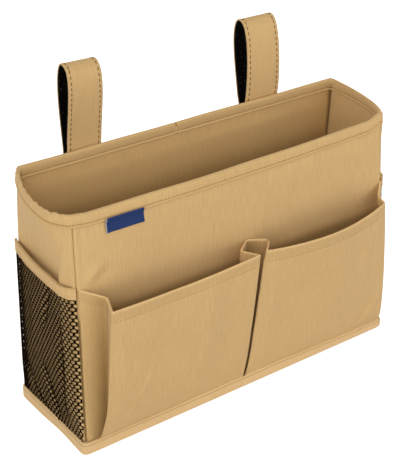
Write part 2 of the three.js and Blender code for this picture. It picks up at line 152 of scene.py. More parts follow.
# The sewn body isn't quite square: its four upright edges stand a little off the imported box. Each edge
# has its shift at five heights, a smooth curve runs through them, and the shift blends from edge to edge.
settled = dict(
    halfWidth=150.0, front=-36.0, back=46.0, strapTop=275.0, release=3.0, endFade=(0.9, 0.1),
    heights=(0, 60, 120, 170, 210),
    leftBack=dict(x=(-2.2, -1.8, -1.0, 0.5, 3.4), y=(-1.6, -0.5, 1.2, 3.0, 4.4), z=(0, 0, 0.2, 0.7, 1.2)),
    rightBack=dict(x=(0, 0.3, 0.9, 1.7, 2.6), y=(0, -0.6, -1.8, -3.2, -4.4), z=(0, 0, -0.3, -0.9, -1.8)),
    leftFront=dict(x=(-1.2, -0.6, 0, 0, 0), y=(-0.8, -0.3, 0, 0, 0), z=(0, 0, 0, 0, 0)),
    rightFront=dict(x=(0.8, -0.2, -1.8, -3.9, -5.9), y=(3.4, 2.0, 0.8, 0.2, 0), z=(2.4, 0.4, 0, 0, 0)),
    frontSag=dict(left=1.6, right=4.6, middle=2.6, cornerShare=0.1, low=150.0, reach=45.0),
)


# Each point's shift is the mean of the four edges' shifts at its height, weighted by how near it is to each.
# The straps leave it again above the rim, and the front rim also sags, most in its middle.
def settle(points):
    across = np.clip(points[..., 0] / settled["halfWidth"], -1, 1)
    depth = settled["back"] - settled["front"]
    deep = np.clip((points[..., 1] - settled["front"]) / depth, 0, 1)
    top = settled["heights"][-1]
    high = np.clip(points[..., 2], 0, top)
    free = top + settled["release"]
    hold = 1 - smoothStep((points[..., 2] - top - settled["release"]) / (settled["strapTop"] - free))
    fadeOver, fadeFrom = settled["endFade"]
    shift = []
    for axis in ("x", "y", "z"):
        sides = []
        for side in ("left", "right"):
            edges = [np.polyval(np.polyfit(settled["heights"], settled[side + wall][axis], 4), high)
                     for wall in ("Front", "Back")]
            sides.append(mix(*edges, deep))
        if axis == "x":  # only the ends move sideways, so the middle keeps its place
            ends = [smoothStep(toward / fadeOver - fadeFrom) for toward in (-across, across)]
            shift.append(sides[0] * ends[0] + sides[1] * ends[1])
        else:
            shift.append(mix(*sides, (across + 1) / 2))
    sag = settled["frontSag"]
    drop = mix(sag["left"], sag["right"], (across + 1) / 2) + sag["middle"] * (1 - across ** 2)
    drop = drop * smoothStep((1 - np.abs(across)) / sag["cornerShare"]) * (1 - deep) ** 2
    shift[2] = shift[2] - drop * smoothStep((high - sag["low"]) / sag["reach"])
    return points + np.stack(shift, axis=-1) * hold[..., None]


def makeMesh(name, points, faces, uv, finish):  # a smooth mesh of settled points in the scene
    mesh = bpy.data.meshes.new(name)
    mesh.vertices.add(len(points))
    mesh.vertices.foreach_set("co", (settle(points) * mm).astype(np.float32).ravel())
    mesh.loops.add(faces.size)
    mesh.loops.foreach_set("vertex_index", faces.astype(np.int32).ravel())
    mesh.polygons.add(len(faces))
    mesh.polygons.foreach_set("loop_start", np.arange(0, faces.size, faces.shape[1], dtype=np.int32))
    mesh.polygons.foreach_set("use_smooth", np.ones(len(faces), bool))
    if uv is not None:
        mesh.uv_layers.new(name="cloth").data.foreach_set("uv", uv.astype(np.float32).ravel())
    mesh.update(calc_edges=True)
    mesh.validate()
    mesh.materials.append(finish)
    piece = bpy.data.objects.new(name, mesh)
    bpy.context.scene.collection.objects.link(piece)
    return piece


# A surface through a grid of points, with a UV map in metres along its rows and columns. Its faces turn
# away from the point inside, or point out of the closed body where there is none.
def makeSheet(name, points, finish, inside=None, thickness=0, wrapRows=False, wrapCols=False, shade=None):
    rows, cols = points.shape[:2]
    lastRow, lastCol = rows - (not wrapRows), cols - (not wrapCols)
    i, j = np.meshgrid(np.arange(lastRow), np.arange(lastCol), indexing="ij")
    corners = [(i, j), (i, j + 1), (i + 1, j + 1), (i + 1, j)]
    faces = np.stack([(a % rows) * cols + b % cols for a, b in corners], -1).reshape(-1, 4)
    full = np.concatenate([points, points[:1]]) if wrapRows else points
    full = np.concatenate([full, full[:, :1]], axis=1) if wrapCols else full
    across, along = np.zeros(full.shape[:2]), np.zeros(full.shape[:2])
    across[:, 1:] = np.cumsum(np.linalg.norm(np.diff(full, axis=1), axis=-1), axis=1)
    along[1:] = np.cumsum(np.linalg.norm(np.diff(full, axis=0), axis=-1), axis=0)
    across -= across[:, [full.shape[1] // 2]]
    uvGrid = np.stack([across, along], -1) * mm
    uv = np.stack([uvGrid[a, b] for a, b in corners], axis=2).reshape(-1, 4, 2)
    flat = points.reshape(-1, 3)
    centre = flat.mean(axis=0) if inside is None else np.array(inside, float)
    if not lookOut(flat[faces], centre):
        faces, uv = faces[:, ::-1], uv[:, ::-1]
    piece = makeMesh(name, flat, faces, uv.reshape(-1, 2), finish)
    # shade holds painted shade for each point: darker where shade falls, paler below zero as a painted
    # highlight
    if shade is not None:
        depth = np.broadcast_to(shade, points.shape[:2]).astype(np.float32)
        piece.data.attributes.new("paintedShade", "FLOAT", "POINT").data.foreach_set("value", depth.ravel())
    if thickness:
        wall = piece.modifiers.new("thickness", "SOLIDIFY")
        wall.thickness = thickness * mm
        wall.offset = -1
    return piece


def weld(piece):  # joins points that lie on each other
    shape = bmesh.new()
    shape.from_mesh(piece.data)
    bmesh.ops.remove_doubles(shape, verts=shape.verts, dist=1e-6)
    bmesh.ops.dissolve_degenerate(shape, dist=1e-7, edges=shape.edges)
    shape.to_mesh(piece.data)
    shape.free()


def alongLine(line, spacing):  # places a given spacing apart on a line, with its direction there
    reach = lengthAlong(line)
    at = np.arange(spacing / 2, reach[-1], spacing)
    place = np.stack([np.interp(at, reach, line[:, k]) for k in range(3)], axis=1)
    near = 0.3
    ahead = np.stack([np.interp(at + near, reach, line[:, k]) for k in range(3)], axis=1)
    behind = np.stack([np.interp(at - near, reach, line[:, k]) for k in range(3)], axis=1)
    return at, reach, place, unit(ahead - behind)


# A row of stitches: each is a short six-sided pod that dips into the cloth at both ends. Its five rings
# have a place along the stitch, a girth and a rise above the cloth, as shares of its length and radius.
podRings = np.array([
    (-0.5, 0.25, -0.8), (-0.32, 0.85, 0.1), (0, 1, 0.35), (0.32, 0.85, 0.1), (0.5, 0.25, -0.8)])
podSides = 6
podEnds = np.array([[0, 3, 2, 1], [0, 5, 4, 3], [24, 25, 26, 27], [24, 27, 28, 29]])


def stitchRow(name, line, outwards, values, finish):
    at, reach, place, run = alongLine(line, values["pitch"])
    out = np.broadcast_to(np.asarray(outwards, float), line.shape)
    out = np.stack([np.interp(at, reach, out[:, k]) for k in range(3)], axis=1)
    out = unit(out - (out * run).sum(axis=1, keepdims=True) * run)
    side = np.cross(run, out)
    turn = np.arange(podSides) * 2 * math.pi / podSides
    girth, rise = podRings[:, 1] * values["radius"], podRings[:, 2] * values["radius"]
    ringCentre = (place[:, None] + run[:, None] * (podRings[:, 0] * values["length"])[None, :, None]
                  + out[:, None] * rise[None, :, None])
    ring = (side[:, None, None] * np.cos(turn)[None, None, :, None]
            + out[:, None, None] * np.sin(turn)[None, None, :, None]) * girth[None, :, None, None]
    points = (ringCentre[:, :, None] + ring).reshape(-1, 3)
    pod = np.concatenate([tubeFaces(len(podRings), podSides), podEnds])
    count = len(podRings) * podSides
    faces = (pod[None] + (np.arange(len(place)) * count)[:, None, None]).reshape(-1, 4)
    if not lookOut(points[pod], points[:count].mean(axis=0)):
        faces = faces[:, ::-1]
    return makeMesh(name, points, faces, None, finish)


def place(piece, body, slot, *nodes):  # a piece's body, its material slot, which is not used, and the nodes it replaces
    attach(piece, body)
    if nodes:
        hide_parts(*nodes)
    return piece


def nodeBox(name):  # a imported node's lowest and highest corner, in millimetres
    low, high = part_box(name)
    return np.array(low) / mm, np.array(high) / mm


# Materials

def addNode(tree, kind, inputs=None, **settings):  # a node with its settings, input values and links
    node = tree.nodes.new(kind)
    for key, value in settings.items():
        setattr(node, key, value)
    for key, value in (inputs or {}).items():
        if isinstance(value, bpy.types.NodeSocket):
            tree.links.new(value, node.inputs[key])
        else:
            node.inputs[key].default_value = value
    return node


def calculate(tree, operation, *values):  # the result of a math node on values or sockets
    return addNode(tree, "ShaderNodeMath", dict(enumerate(values)), operation=operation).outputs[0]


def addNoise(tree, scale, detail, place=None):  # noise over the object's own coordinates, or at a given place
    if place is None:
        place = tree.nodes.new("ShaderNodeTexCoord").outputs["Object"]
    inputs = {"Scale": scale, "Detail": detail, "Vector": place}
    return addNode(tree, "ShaderNodeTexNoise", inputs).outputs[0]


def newGroup(name, inputs, outputs):  # a node group with its sockets, and its two end nodes
    tree = bpy.data.node_groups.new(name, "ShaderNodeTree")
    for socketName, kind, value in inputs:
        tree.interface.new_socket(socketName, in_out="INPUT", socket_type=kind).default_value = value
    for socketName, kind in outputs:
        tree.interface.new_socket(socketName, in_out="OUTPUT", socket_type=kind)
    return tree, tree.nodes.new("NodeGroupInput"), tree.nodes.new("NodeGroupOutput")


# Plain weave: the threads' round tops cross over and under in a checker of square cells. Each thread is a
# half sine across, raised to a power, and swells to its full height midway along its cell.
weaving = dict(round=0.6, swell=0.5, overShade=0.3, paintedHollowShade=0.7, slubShade=0.6, slubs=(900, 60, 1))


def makeWeaveGroup():
    tree, given, result = newGroup(
        "weave",
        [("UV", "NodeSocketVector", (0, 0, 0)), ("Pitch", "NodeSocketFloat", 0.001)],
        [("Height", "NodeSocketFloat"), ("Shade", "NodeSocketFloat")])
    cells = addNode(tree, "ShaderNodeVectorMath", {0: given.outputs["UV"]}, operation="SCALE")
    tree.links.new(calculate(tree, "DIVIDE", 1.0, given.outputs["Pitch"]), cells.inputs["Scale"])
    split = addNode(tree, "ShaderNodeSeparateXYZ", {0: cells.outputs[0]})
    rounds, counts = [], []
    for axis in ("X", "Y"):
        share = calculate(tree, "FRACT", split.outputs[axis])
        rounds.append(calculate(tree, "SINE", calculate(tree, "MULTIPLY", share, math.pi)))
        counts.append(calculate(tree, "FLOOR", split.outputs[axis]))
    over = calculate(tree, "PINGPONG", calculate(tree, "ADD", *counts), 1.0)
    heights = []
    for cross, run in (rounds, rounds[::-1]):
        swell = calculate(tree, "MULTIPLY_ADD", run, weaving["swell"], 1 - weaving["swell"])
        rounded = calculate(tree, "POWER", cross, weaving["round"])
        heights.append(calculate(tree, "MULTIPLY", rounded, swell))
    height = addNode(tree, "ShaderNodeMix", {0: over, 2: heights[0], 3: heights[1]}).outputs[0]
    stretch = addNode(tree, "ShaderNodeVectorMath", {0: given.outputs["UV"], 1: weaving["slubs"]},
                      operation="MULTIPLY")
    slub = addNoise(tree, 1.0, 2.0, stretch.outputs[0])
    # painted shade in the weave: the hollows between threads darker, the raised tops paler
    raised = calculate(tree, "MULTIPLY", height, weaving["paintedHollowShade"])
    tone = calculate(tree, "MULTIPLY_ADD", over, weaving["overShade"], raised)
    tree.links.new(height, result.inputs["Height"])
    shade = calculate(tree, "MULTIPLY_ADD", slub, weaving["slubShade"], tone)
    tree.links.new(shade, result.inputs["Shade"])
    return tree


# Colour that drifts over the cloth: two noises, a broad and a fine one, lighten and darken it, the weave's
# shade does so from thread to thread, and painted shade darkens it where shade falls, taking more from
# blue than from red, and lightens it where a highlight is painted.
toning = dict(broad=14.0, fine=420.0, fineShare=0.6, driftMiddle=0.8, weaveMiddle=0.72, greenPower=1.12,
              bluePower=1.5, roughSpread=0.16, roughLeast=0.74)


def makeToneGroup():
    tree, given, result = newGroup(
        "clothTone",
        [("Color", "NodeSocketColor", (1, 1, 1, 1)), ("Shade", "NodeSocketFloat", 0.5),
         ("Drift", "NodeSocketFloat", 0.06), ("Weave", "NodeSocketFloat", 0.1),
         ("Painted Shade", "NodeSocketFloat", 0.0)],
        [("Color", "NodeSocketColor"), ("Roughness", "NodeSocketFloat")])
    broad, fine = addNoise(tree, toning["broad"], 2.0), addNoise(tree, toning["fine"], 3.0)
    both = calculate(tree, "ADD", broad, calculate(tree, "MULTIPLY", fine, toning["fineShare"]))
    uneven = calculate(tree, "SUBTRACT", both, toning["driftMiddle"])
    drift = calculate(tree, "MULTIPLY", uneven, given.outputs["Drift"])
    threads = calculate(tree, "SUBTRACT", given.outputs["Shade"], toning["weaveMiddle"])
    woven = calculate(tree, "MULTIPLY", threads, given.outputs["Weave"])
    light = calculate(tree, "ADD", 1.0, calculate(tree, "ADD", drift, woven))
    # painted shade: the colour keeps 1 less the painted shade, green and blue less of it, like shade lit by
    # warm bounce light
    kept = calculate(tree, "SUBTRACT", 1.0, given.outputs["Painted Shade"])
    green, blue = (calculate(tree, "POWER", kept, toning[key]) for key in ("greenPower", "bluePower"))
    warm = addNode(tree, "ShaderNodeCombineXYZ", {"X": kept, "Y": green, "Z": blue})
    seamed = addNode(tree, "ShaderNodeVectorMath", {0: given.outputs["Color"], 1: warm.outputs[0]},
                     operation="MULTIPLY")
    tint = addNode(tree, "ShaderNodeVectorMath", {0: seamed.outputs[0]}, operation="SCALE")
    tree.links.new(light, tint.inputs["Scale"])
    rough = calculate(tree, "MULTIPLY_ADD", fine, toning["roughSpread"], toning["roughLeast"])
    tree.links.new(tint.outputs[0], result.inputs["Color"])
    tree.links.new(rough, result.inputs["Roughness"])
    return tree


weaveGroup = makeWeaveGroup()
toneGroup = makeToneGroup()


def newMaterial(name):  # a material with one shader wired to its output
    finish = bpy.data.materials.new(name)
    finish.use_nodes = True
    tree = finish.node_tree
    tree.nodes.clear()
    shader = tree.nodes.new("ShaderNodeBsdfPrincipled")
    output = tree.nodes.new("ShaderNodeOutputMaterial")
    tree.links.new(shader.outputs[0], output.inputs["Surface"])
    return finish, tree, shader


clothShared = dict(gloss=0.25, deep=0.15, sheenRough=0.5)
plainShared = dict(deep=0.2)


def addRelief(tree, shader, values, height):  # relief from a pattern's height
    relief = addNode(tree, "ShaderNodeBump", dict(
        Strength=values["relief"], Distance=values["deep"] * mm, Height=height))
    tree.links.new(relief.outputs[0], shader.inputs["Normal"])
    shader.inputs["Specular IOR Level"].default_value = values["gloss"]


# Colour, roughness and relief of a cloth or plain finish, from its pattern's shade and height.
def addTone(tree, shader, values, shade, height):
    tone = addNode(tree, "ShaderNodeGroup", {
        "Color": (*values["color"], 1), "Drift": values["drift"], "Weave": values["weave"], "Shade": shade},
        node_tree=toneGroup)
    tree.links.new(tone.outputs["Color"], shader.inputs["Base Color"])
    tree.links.new(tone.outputs["Roughness"], shader.inputs["Roughness"])
    addRelief(tree, shader, values, height)
    return tone


def makeCloth(name, values):  # woven cloth, with painted shade and painted highlights where the mesh has them
    finish, tree, shader = newMaterial(name)
    flat = tree.nodes.new("ShaderNodeUVMap")
    flat.uv_map = "cloth"
    weave = addNode(tree, "ShaderNodeGroup", {"UV": flat.outputs[0], "Pitch": values["pitch"] * mm},
                    node_tree=weaveGroup)
    values = dict(values, **clothShared)
    tone = addTone(tree, shader, values, weave.outputs["Shade"], weave.outputs["Height"])
    seam = addNode(tree, "ShaderNodeAttribute", attribute_name="paintedShade")
    tree.links.new(seam.outputs["Fac"], tone.inputs["Painted Shade"])
    shader.inputs["Sheen Weight"].default_value = values["sheen"]
    shader.inputs["Sheen Roughness"].default_value = values["sheenRough"]
    return finish


# A finish for pieces too thin or too small for a woven pattern: threads, net strands and boards.
def makePlain(name, values):
    finish, tree, shader = newMaterial(name)
    grain = addNoise(tree, values["grain"], 3.0)
    addTone(tree, shader, dict(values, **plainShared), grain, grain)
    return finish


# Hook-and-loop tape: black pile, with small loops whose paler tips are a painted highlight.
def makeHookAndLoop(name, values):
    finish, tree, shader = newMaterial(name)
    places = tree.nodes.new("ShaderNodeTexCoord")
    here = places.outputs["Object"]
    loops = addNode(tree, "ShaderNodeTexVoronoi", {"Scale": values["loops"], "Vector": here})
    near, far = values["tipEdge"]
    tips = addNode(tree, "ShaderNodeMapRange", {
        "Value": loops.outputs["Distance"], "From Min": near, "From Max": far, "To Min": 1.0, "To Max": 0.0})
    pile, pale = (*values["pile"], 1), (*values["tips"], 1)
    color = addNode(tree, "ShaderNodeMix", {0: tips.outputs[0], 6: pile, 7: pale}, data_type="RGBA")
    tree.links.new(color.outputs[2], shader.inputs["Base Color"])
    shader.inputs["Roughness"].default_value = values["rough"]
    addRelief(tree, shader, values, tips.outputs[0])
    return finish


cloths = dict(
    tanCloth=dict(color=(0.56, 0.367, 0.16), pitch=1.2, drift=0.12, weave=0.5, relief=0.6, sheen=0.05),
    bindingCloth=dict(color=(0.66, 0.45, 0.22), pitch=0.8, drift=0.08, weave=0.22, relief=0.35, sheen=0.05),
    # the lining is the tan cloth made paler, a painted highlight for light reaching into the compartment
    liningCloth=dict(color=(0.62, 0.4, 0.165), pitch=1.2, drift=0.1, weave=0.4, relief=0.5, sheen=0.05),
    tabCloth=dict(color=(0.012, 0.03, 0.11), pitch=0.45, drift=0.12, weave=0.3, relief=0.5, sheen=0.0),
    tabEdge=dict(color=(0.35, 0.37, 0.45), pitch=0.45, drift=0.1, weave=0.2, relief=0.4, sheen=0.0),
)
plains = dict(
    stiffenerBoard=dict(color=(0.26, 0.25, 0.23), grain=300.0, drift=0.1, weave=0.1, relief=0.2, gloss=0.3),
    netYarn=dict(color=(0.009, 0.0045, 0.002), grain=2500.0, drift=0.3, weave=0.3, relief=0.4, gloss=0.0),
    # both threads are darker than the cloth, for their own tone and as painted shade in the stitch holes
    tanThread=dict(color=(0.36, 0.2, 0.075), grain=3000.0, drift=0.2, weave=0.2, relief=0.5, gloss=0.2),
    darkThread=dict(color=(0.13, 0.065, 0.02), grain=3000.0, drift=0.2, weave=0.2, relief=0.5, gloss=0.2),
)
tapePile = dict(
    pile=(0.0015, 0.0011, 0.0009), tips=(0.09, 0.075, 0.06), loops=330.0, tipEdge=(0.06, 0.2), relief=0.7,
    deep=0.4, rough=0.9, gloss=0.06,
)
tan, binding, liningCloth, tabCloth, tabEdge = (makeCloth(name, values) for name, values in cloths.items())
board, net, tanThread, darkThread = (makePlain(name, values) for name, values in plains.items())
hookAndLoop = makeHookAndLoop("hookAndLoop", tapePile)
print("materials made")


# The body: outer faces of the walls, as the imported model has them

bindingTop = nodeBox("base_binding_back")[1]
hemBox = nodeBox("rim_hem_back")
body = dict(
    halfWidth=bindingTop[0],
    height=hemBox[1][2],
    backFace=nodeBox("back_panel")[1][1],
    baseFront=nodeBox("front_panel")[0][1],
    rimFront=-34.0,
    hemLow=hemBox[0][2],
)
soft = dict(  # how the soft sides stand out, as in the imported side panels
    leftBelly=13.0, rightBelly=5.6, tuck=4.0, tuckHeight=120.0, peak=0.62, backPower=2, frontPower=3,
    risePower=1.6,
)


def frontFace(z):  # the front wall leans back in a straight line from base to rim
    return mix(body["baseFront"], body["rimFront"], z / body["height"])


def backFlat(z):  # the back wall stands upright
    return body["backFace"] + 0 * z


def bellyShape(along):  # 0 at the back corner, 1 at the peak, 0 at the front corner
    behind = 1 - (np.clip(soft["peak"] - along, 0, None) / soft["peak"]) ** soft["backPower"]
    ahead = (np.clip(along - soft["peak"], 0, None) / (1 - soft["peak"])) ** soft["frontPower"]
    return behind - ahead


def sideBelly(side, z):  # out at the rim, drawn in behind the net
    rim = soft["leftBelly"] if side < 0 else soft["rightBelly"]
    share = np.clip((z - soft["tuckHeight"]) / (body["hemLow"] - soft["tuckHeight"]), 0, 1)
    high = -soft["tuck"] + (rim + soft["tuck"]) * share ** soft["risePower"]
    return np.where(z > soft["tuckHeight"], high, -soft["tuck"] * smoothStep(z / soft["tuckHeight"]))


def sideFace(side, along, z):  # the distance of a side's outer face from the middle
    return body["halfWidth"] + sideBelly(side, z) * bellyShape(along)


cornerCrease = dict(
    height=4.6, lowAt=0.85, highAt=0.955, bend=150.0, top=198.0, reach=0.13, foot=11.0, footRise=34.0)


def cornerRidge(along, z):  # a crease beside the front seam: a straight facet ahead of it, soft behind it
    values = cornerCrease
    high = np.clip((z - values["bend"]) / (values["top"] - values["bend"]), 0, 1)
    ridgeAt = mix(values["lowAt"], values["highAt"], high)
    ahead = np.clip((1 - along) / (1 - ridgeAt), 0, 1)
    behind = smoothStep(1 - (ridgeAt - along) / values["reach"])
    risen = smoothStep((z - values["foot"]) / values["footRise"])
    return values["height"] * np.where(along > ridgeAt, ahead, behind) * risen


def larger(one, other, rounding=0.5):  # the larger of two heights, rounded where they cross
    return 0.5 * (one + other + np.sqrt((one - other) ** 2 + rounding))


# One level line round the body for each height in z: back wall from left to right, right side, front
# wall, left side. Insets are measured inwards from the outer faces; passes round the corners.
loopCounts = dict(wall=250, side=72)


def bodyLoop(z, wallInset, sideInset, passes):
    z, wallInset, sideInset = (one[:, None] for one in (z, wallInset, sideInset))
    across = np.linspace(-1, 1, loopCounts["wall"], endpoint=False)[None]
    along = np.linspace(0, 1, loopCounts["side"], endpoint=False)[None]
    edge = body["halfWidth"] - sideInset
    back = body["backFace"] - wallInset
    front = frontFace(z) + wallInset
    parts = [
        grid(across * edge, back, z),
        grid(sideFace(1, along, z) - sideInset, mix(back, front, along), z),
        grid(-across * edge, front, z),
        grid(-sideFace(-1, 1 - along, z) + sideInset, mix(front, back, along), z),
    ]
    return soften(np.concatenate(parts, axis=1), passes, wrap=True)


# Camera, fitted to the body's corners in the photograph

view = dict(
    place=(-0.6468, -0.8926, 0.8054), azimuth=-35.49, elevation=31.61, roll=0.842, focalPixels=1600,
    imageHeight=466, sensor=36.0,
)


def addCamera(values):  # its axes follow from azimuth and elevation, and then roll turns the first two
    a, e, r = (math.radians(values[key]) for key in ("azimuth", "elevation", "roll"))
    right = Vector((math.cos(a), math.sin(a), 0))
    up = Vector((-math.sin(a) * math.sin(e), math.cos(a) * math.sin(e), math.cos(e)))
    back = Vector((math.sin(a) * math.cos(e), -math.cos(a) * math.cos(e), math.sin(e)))
    right, up = right * math.cos(r) + up * math.sin(r), up * math.cos(r) - right * math.sin(r)
    data = bpy.data.cameras.new("camera")
    data.sensor_width = values["sensor"]
    data.lens = values["sensor"] * values["focalPixels"] / values["imageHeight"]
    camera = bpy.data.objects.new("camera", data)
    camera.matrix_world = Matrix((right, up, back)).transposed().to_4x4()
    camera.location = values["place"]
    bpy.context.scene.collection.objects.link(camera)
    bpy.context.scene.camera = camera


addCamera(view)
print("camera set")


# Front and back walls: cloth stretched over the boards, turned in at both ends

walls = dict(
    thickness=0.7, low=0.6, high=206.0, endGap=1.2, endRadius=1.3, turnIn=3.0, columns=272, rows=166,
    paintedShade=0.6, ridge=0.45, ridgeAt=3.2, ridgeWidth=1.6, wave=0.3, loft=0.7, behindPockets=0.3,
    mouthShade=0.46, mouthTop=127.0, mouthReach=10.0, mouthHighlight=0.03, mouthHighlightAt=152.0, mouthHighlightWidth=18.0,
    calmFoot=(11, 20), calmTop=(200, 12), calmMouth=(132, 16), noiseLength=90, calmEnd=12,
    frontCreases=[  # start and end as (across, height), width and height of each crease
        ((-143, 150), (-128, 163), 4.5, 1.5), ((-132, 150), (-116, 158), 5, -0.7),
        ((-145, 160), (-141, 176), 3, 0.6), ((22.6, 136), (22.6, 162), 3.5, 0.7),
        ((-52, 196), (-48, 150), 26, -0.7), ((-10, 200), (30, 168), 22, -0.5),
        ((48, 206), (53, 178), 4, 0.5), ((57, 205), (61, 172), 4, -0.5), ((66, 204), (70, 180), 4, 0.4),
        ((92, 206), (98, 146), 12, 1.1), ((84, 190), (90, 150), 8, -0.4), ((112, 182), (124, 158), 5, -0.9),
        ((118, 192), (136, 172), 5, 0.7), ((106, 170), (112, 148), 6, 0.9), ((130, 176), (137, 158), 4, -0.5),
    ],
    backCreases=[
        ((-120, 60), (-60, 140), 22, 0.5), ((40, 150), (110, 60), 24, 0.4), ((0, 20), (10, 120), 18, -0.4)],
)


def wallRelief(x, z, values, wrinkles):  # waves and creases, calm at the seams and behind the pockets
    (foot, footReach), (top, topReach), (mouth, mouthReach) = (
        values[key] for key in ("calmFoot", "calmTop", "calmMouth"))
    calm = smoothStep((z - foot) / footReach) * smoothStep((top - z) / topReach)
    calm = calm * mix(values["behindPockets"], 1, smoothStep((z - mouth) / mouthReach))
    waves = softNoise(x, z, values["noiseLength"], 3) * values["wave"]
    relief = values["loft"] + waves + creases(x, z, wrinkles)
    reach = body["halfWidth"] - values["endGap"] - values["ridgeAt"]
    ridge = values["ridge"] * bump(np.abs(x), reach, values["ridgeWidth"])
    return np.clip(relief, 0, None) * calm * smoothStep((reach + 1 - np.abs(x)) / values["calmEnd"]) + ridge


# One wall's cloth: flat with its relief between the ends, then a quarter round and a short way inwards.
def wallSheet(name, face, inward, values, wrinkles, finish):
    reach = body["halfWidth"] - values["endGap"]
    radius, turn = values["endRadius"], values["turnIn"]
    straight = np.linspace(-(reach - radius), reach - radius, values["columns"])
    angle = np.linspace(0, math.pi / 2, 7)[1:]
    inwards = np.linspace(0, turn, 4)[1:]
    x = np.concatenate([straight, reach - radius + radius * np.sin(angle), np.full(len(inwards), reach)])
    depth = np.concatenate([np.zeros_like(straight), radius * (1 - np.cos(angle)), radius + inwards])
    x = np.concatenate([-x[:values["columns"] - 1:-1], x])[None]
    depth = np.concatenate([depth[:values["columns"] - 1:-1], depth])[None]
    z = np.linspace(values["low"], values["high"], values["rows"])[:, None]
    y = face(z) + inward * (depth - wallRelief(x, z, values, wrinkles))
    # painted shade in the seam, where the cloth turns in at both ends
    shade = values["paintedShade"] * smoothStep(depth / radius)
    if inward > 0:  # the front wall gets painted shade low behind the pockets and a painted highlight above their mouths
        shade = shade + values["mouthShade"] * smoothStep((values["mouthTop"] - z) / values["mouthReach"])
        shade = shade - values["mouthHighlight"] * bump(z, values["mouthHighlightAt"], values["mouthHighlightWidth"])
    return makeSheet(name, grid(x, y, z), finish, (0, 0, 100), values["thickness"], shade=shade)


frontCloth = wallSheet("frontCloth", frontFace, 1, walls, walls["frontCreases"], tan)
place(frontCloth, "front_wall", "cloth", "front_panel")
backCloth = wallSheet("backCloth", backFlat, -1, walls, walls["backCreases"], tan)
place(backCloth, "back", "cloth", "back_panel")
print("front and back cloth made")


# Linings: the cloth in front of each board, inside the compartment

linings = dict(
    thickness=0.25, columns=160, rows=100, wave=0.2, noiseLength=70, depth=3.3, topDepth=2.85, topFrom=186.0,
    topReach=10.0, low=4.6, high=206.5, reach=148.7, endShade=0.55, endWidth=2.2, lowShade=0.42, lowTop=176.0,
    lowReach=30.0,
)


def addLining(name, node, face, inward, onBody, values):  # a wavy sheet that nears the wall at the rim
    x = np.linspace(-values["reach"], values["reach"], values["columns"])[None]
    z = np.linspace(values["low"], values["high"], values["rows"])[:, None]
    slack = values["depth"] + values["wave"] * (1 + softNoise(x, z, values["noiseLength"], 8))
    depth = mix(slack, values["topDepth"], smoothStep((z - values["topFrom"]) / values["topReach"]))
    points = grid(x, face(z) + inward * depth, z)
    # painted shade in the corners at both ends, and painted shade growing towards the bottom
    shade = values["endShade"] * bump(np.abs(x), values["reach"], values["endWidth"])
    shade = np.maximum(shade, values["lowShade"] * smoothStep((values["lowTop"] - z) / values["lowReach"]))
    piece = makeSheet(name, points, liningCloth, (0, inward * -500.0, 100), values["thickness"], shade=shade)
    place(piece, onBody, "lining", node)


addLining("backLining", "back_lining", backFlat, -1, "back", linings)
addLining("frontLining", "front_lining", frontFace, 1, "front_wall", linings)


def addBoard(name, node, face, inward, onBody, values):  # a flat board behind the wall's cloth
    low, high = nodeBox(node)
    x = np.linspace(low[0], high[0], values["columns"])[None]
    z = np.linspace(low[2], values["high"], values["rows"])[:, None]
    points = grid(x, face(z) + inward * (values["depth"] + values["thickness"]), z)
    piece = makeSheet(name, points, board, (0, inward * -500.0, 100), values["thickness"])
    place(piece, onBody, "board", node)


boards = dict(columns=60, rows=40, depth=0.9, thickness=1.6, high=206.5)
addBoard("backBoard", "back_board", backFlat, -1, "back", boards)
addBoard("frontBoard", "front_board", frontFace, 1, "front_wall", boards)
print("linings and boards made")


def foldWithFront(piece, slot, *nodes):  # hides the nodes that a piece replaces and bakes its transform into its mesh
    if nodes:
        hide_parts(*nodes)
    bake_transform(piece)


# Base: cloth under the board, and lining over it

base = dict(
    baseCloth=dict(
        node="base_panel", inset=0.4, high=0.75, thickness=0.7, wave=0.0, finish=tan, slot="cloth"),
    baseBoard=dict(
        node="base_board", inset=2.4, high=3.0, thickness=2.0, wave=0.0, finish=board, slot="board"),
    baseLining=dict(
        node="base_lining", inset=1.4, high=4.0, thickness=0.7, wave=0.15, finish=liningCloth, slot="lining"),
)
baseGrid = dict(columns=120, rows=60, noiseLength=60, deepest=-0.5)


def addBase(values):  # three level sheets, inset from the walls, the top one a little wavy
    for name, one in values.items():
        x = np.linspace(-1, 1, baseGrid["columns"])[None] * (body["halfWidth"] - one["inset"])
        ends = body["baseFront"] + one["inset"], body["backFace"] - one["inset"]
        y = np.linspace(*ends, baseGrid["rows"])[:, None]
        wave = np.clip(softNoise(x, y, baseGrid["noiseLength"], 5), baseGrid["deepest"], 1)
        z = one["high"] + one["wave"] * wave
        piece = makeSheet(name, grid(x, y, z), one["finish"], (0, 0, -500), one["thickness"])
        foldWithFront(piece, one["slot"], one["node"])


addBase(base)
print("base made")


# Soft side panels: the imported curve, with a crease and a flat facet beside the front seam

sides = dict(
    thickness=1.0, low=0.8, high=206.5, seamGap=1.1, turnIn=3.2, alongSteps=110, rows=140, passes=1,
    paintedShade=0.75, seamInset=0.6, seamReach=1.6, shadeFrom=0.93, shadeOver=0.04, wave=0.35, noiseLength=60,
    length=85, calmEnd=0.12, calmTop=200, calmFoot=12, calmReach=20, loft=0.2,
)


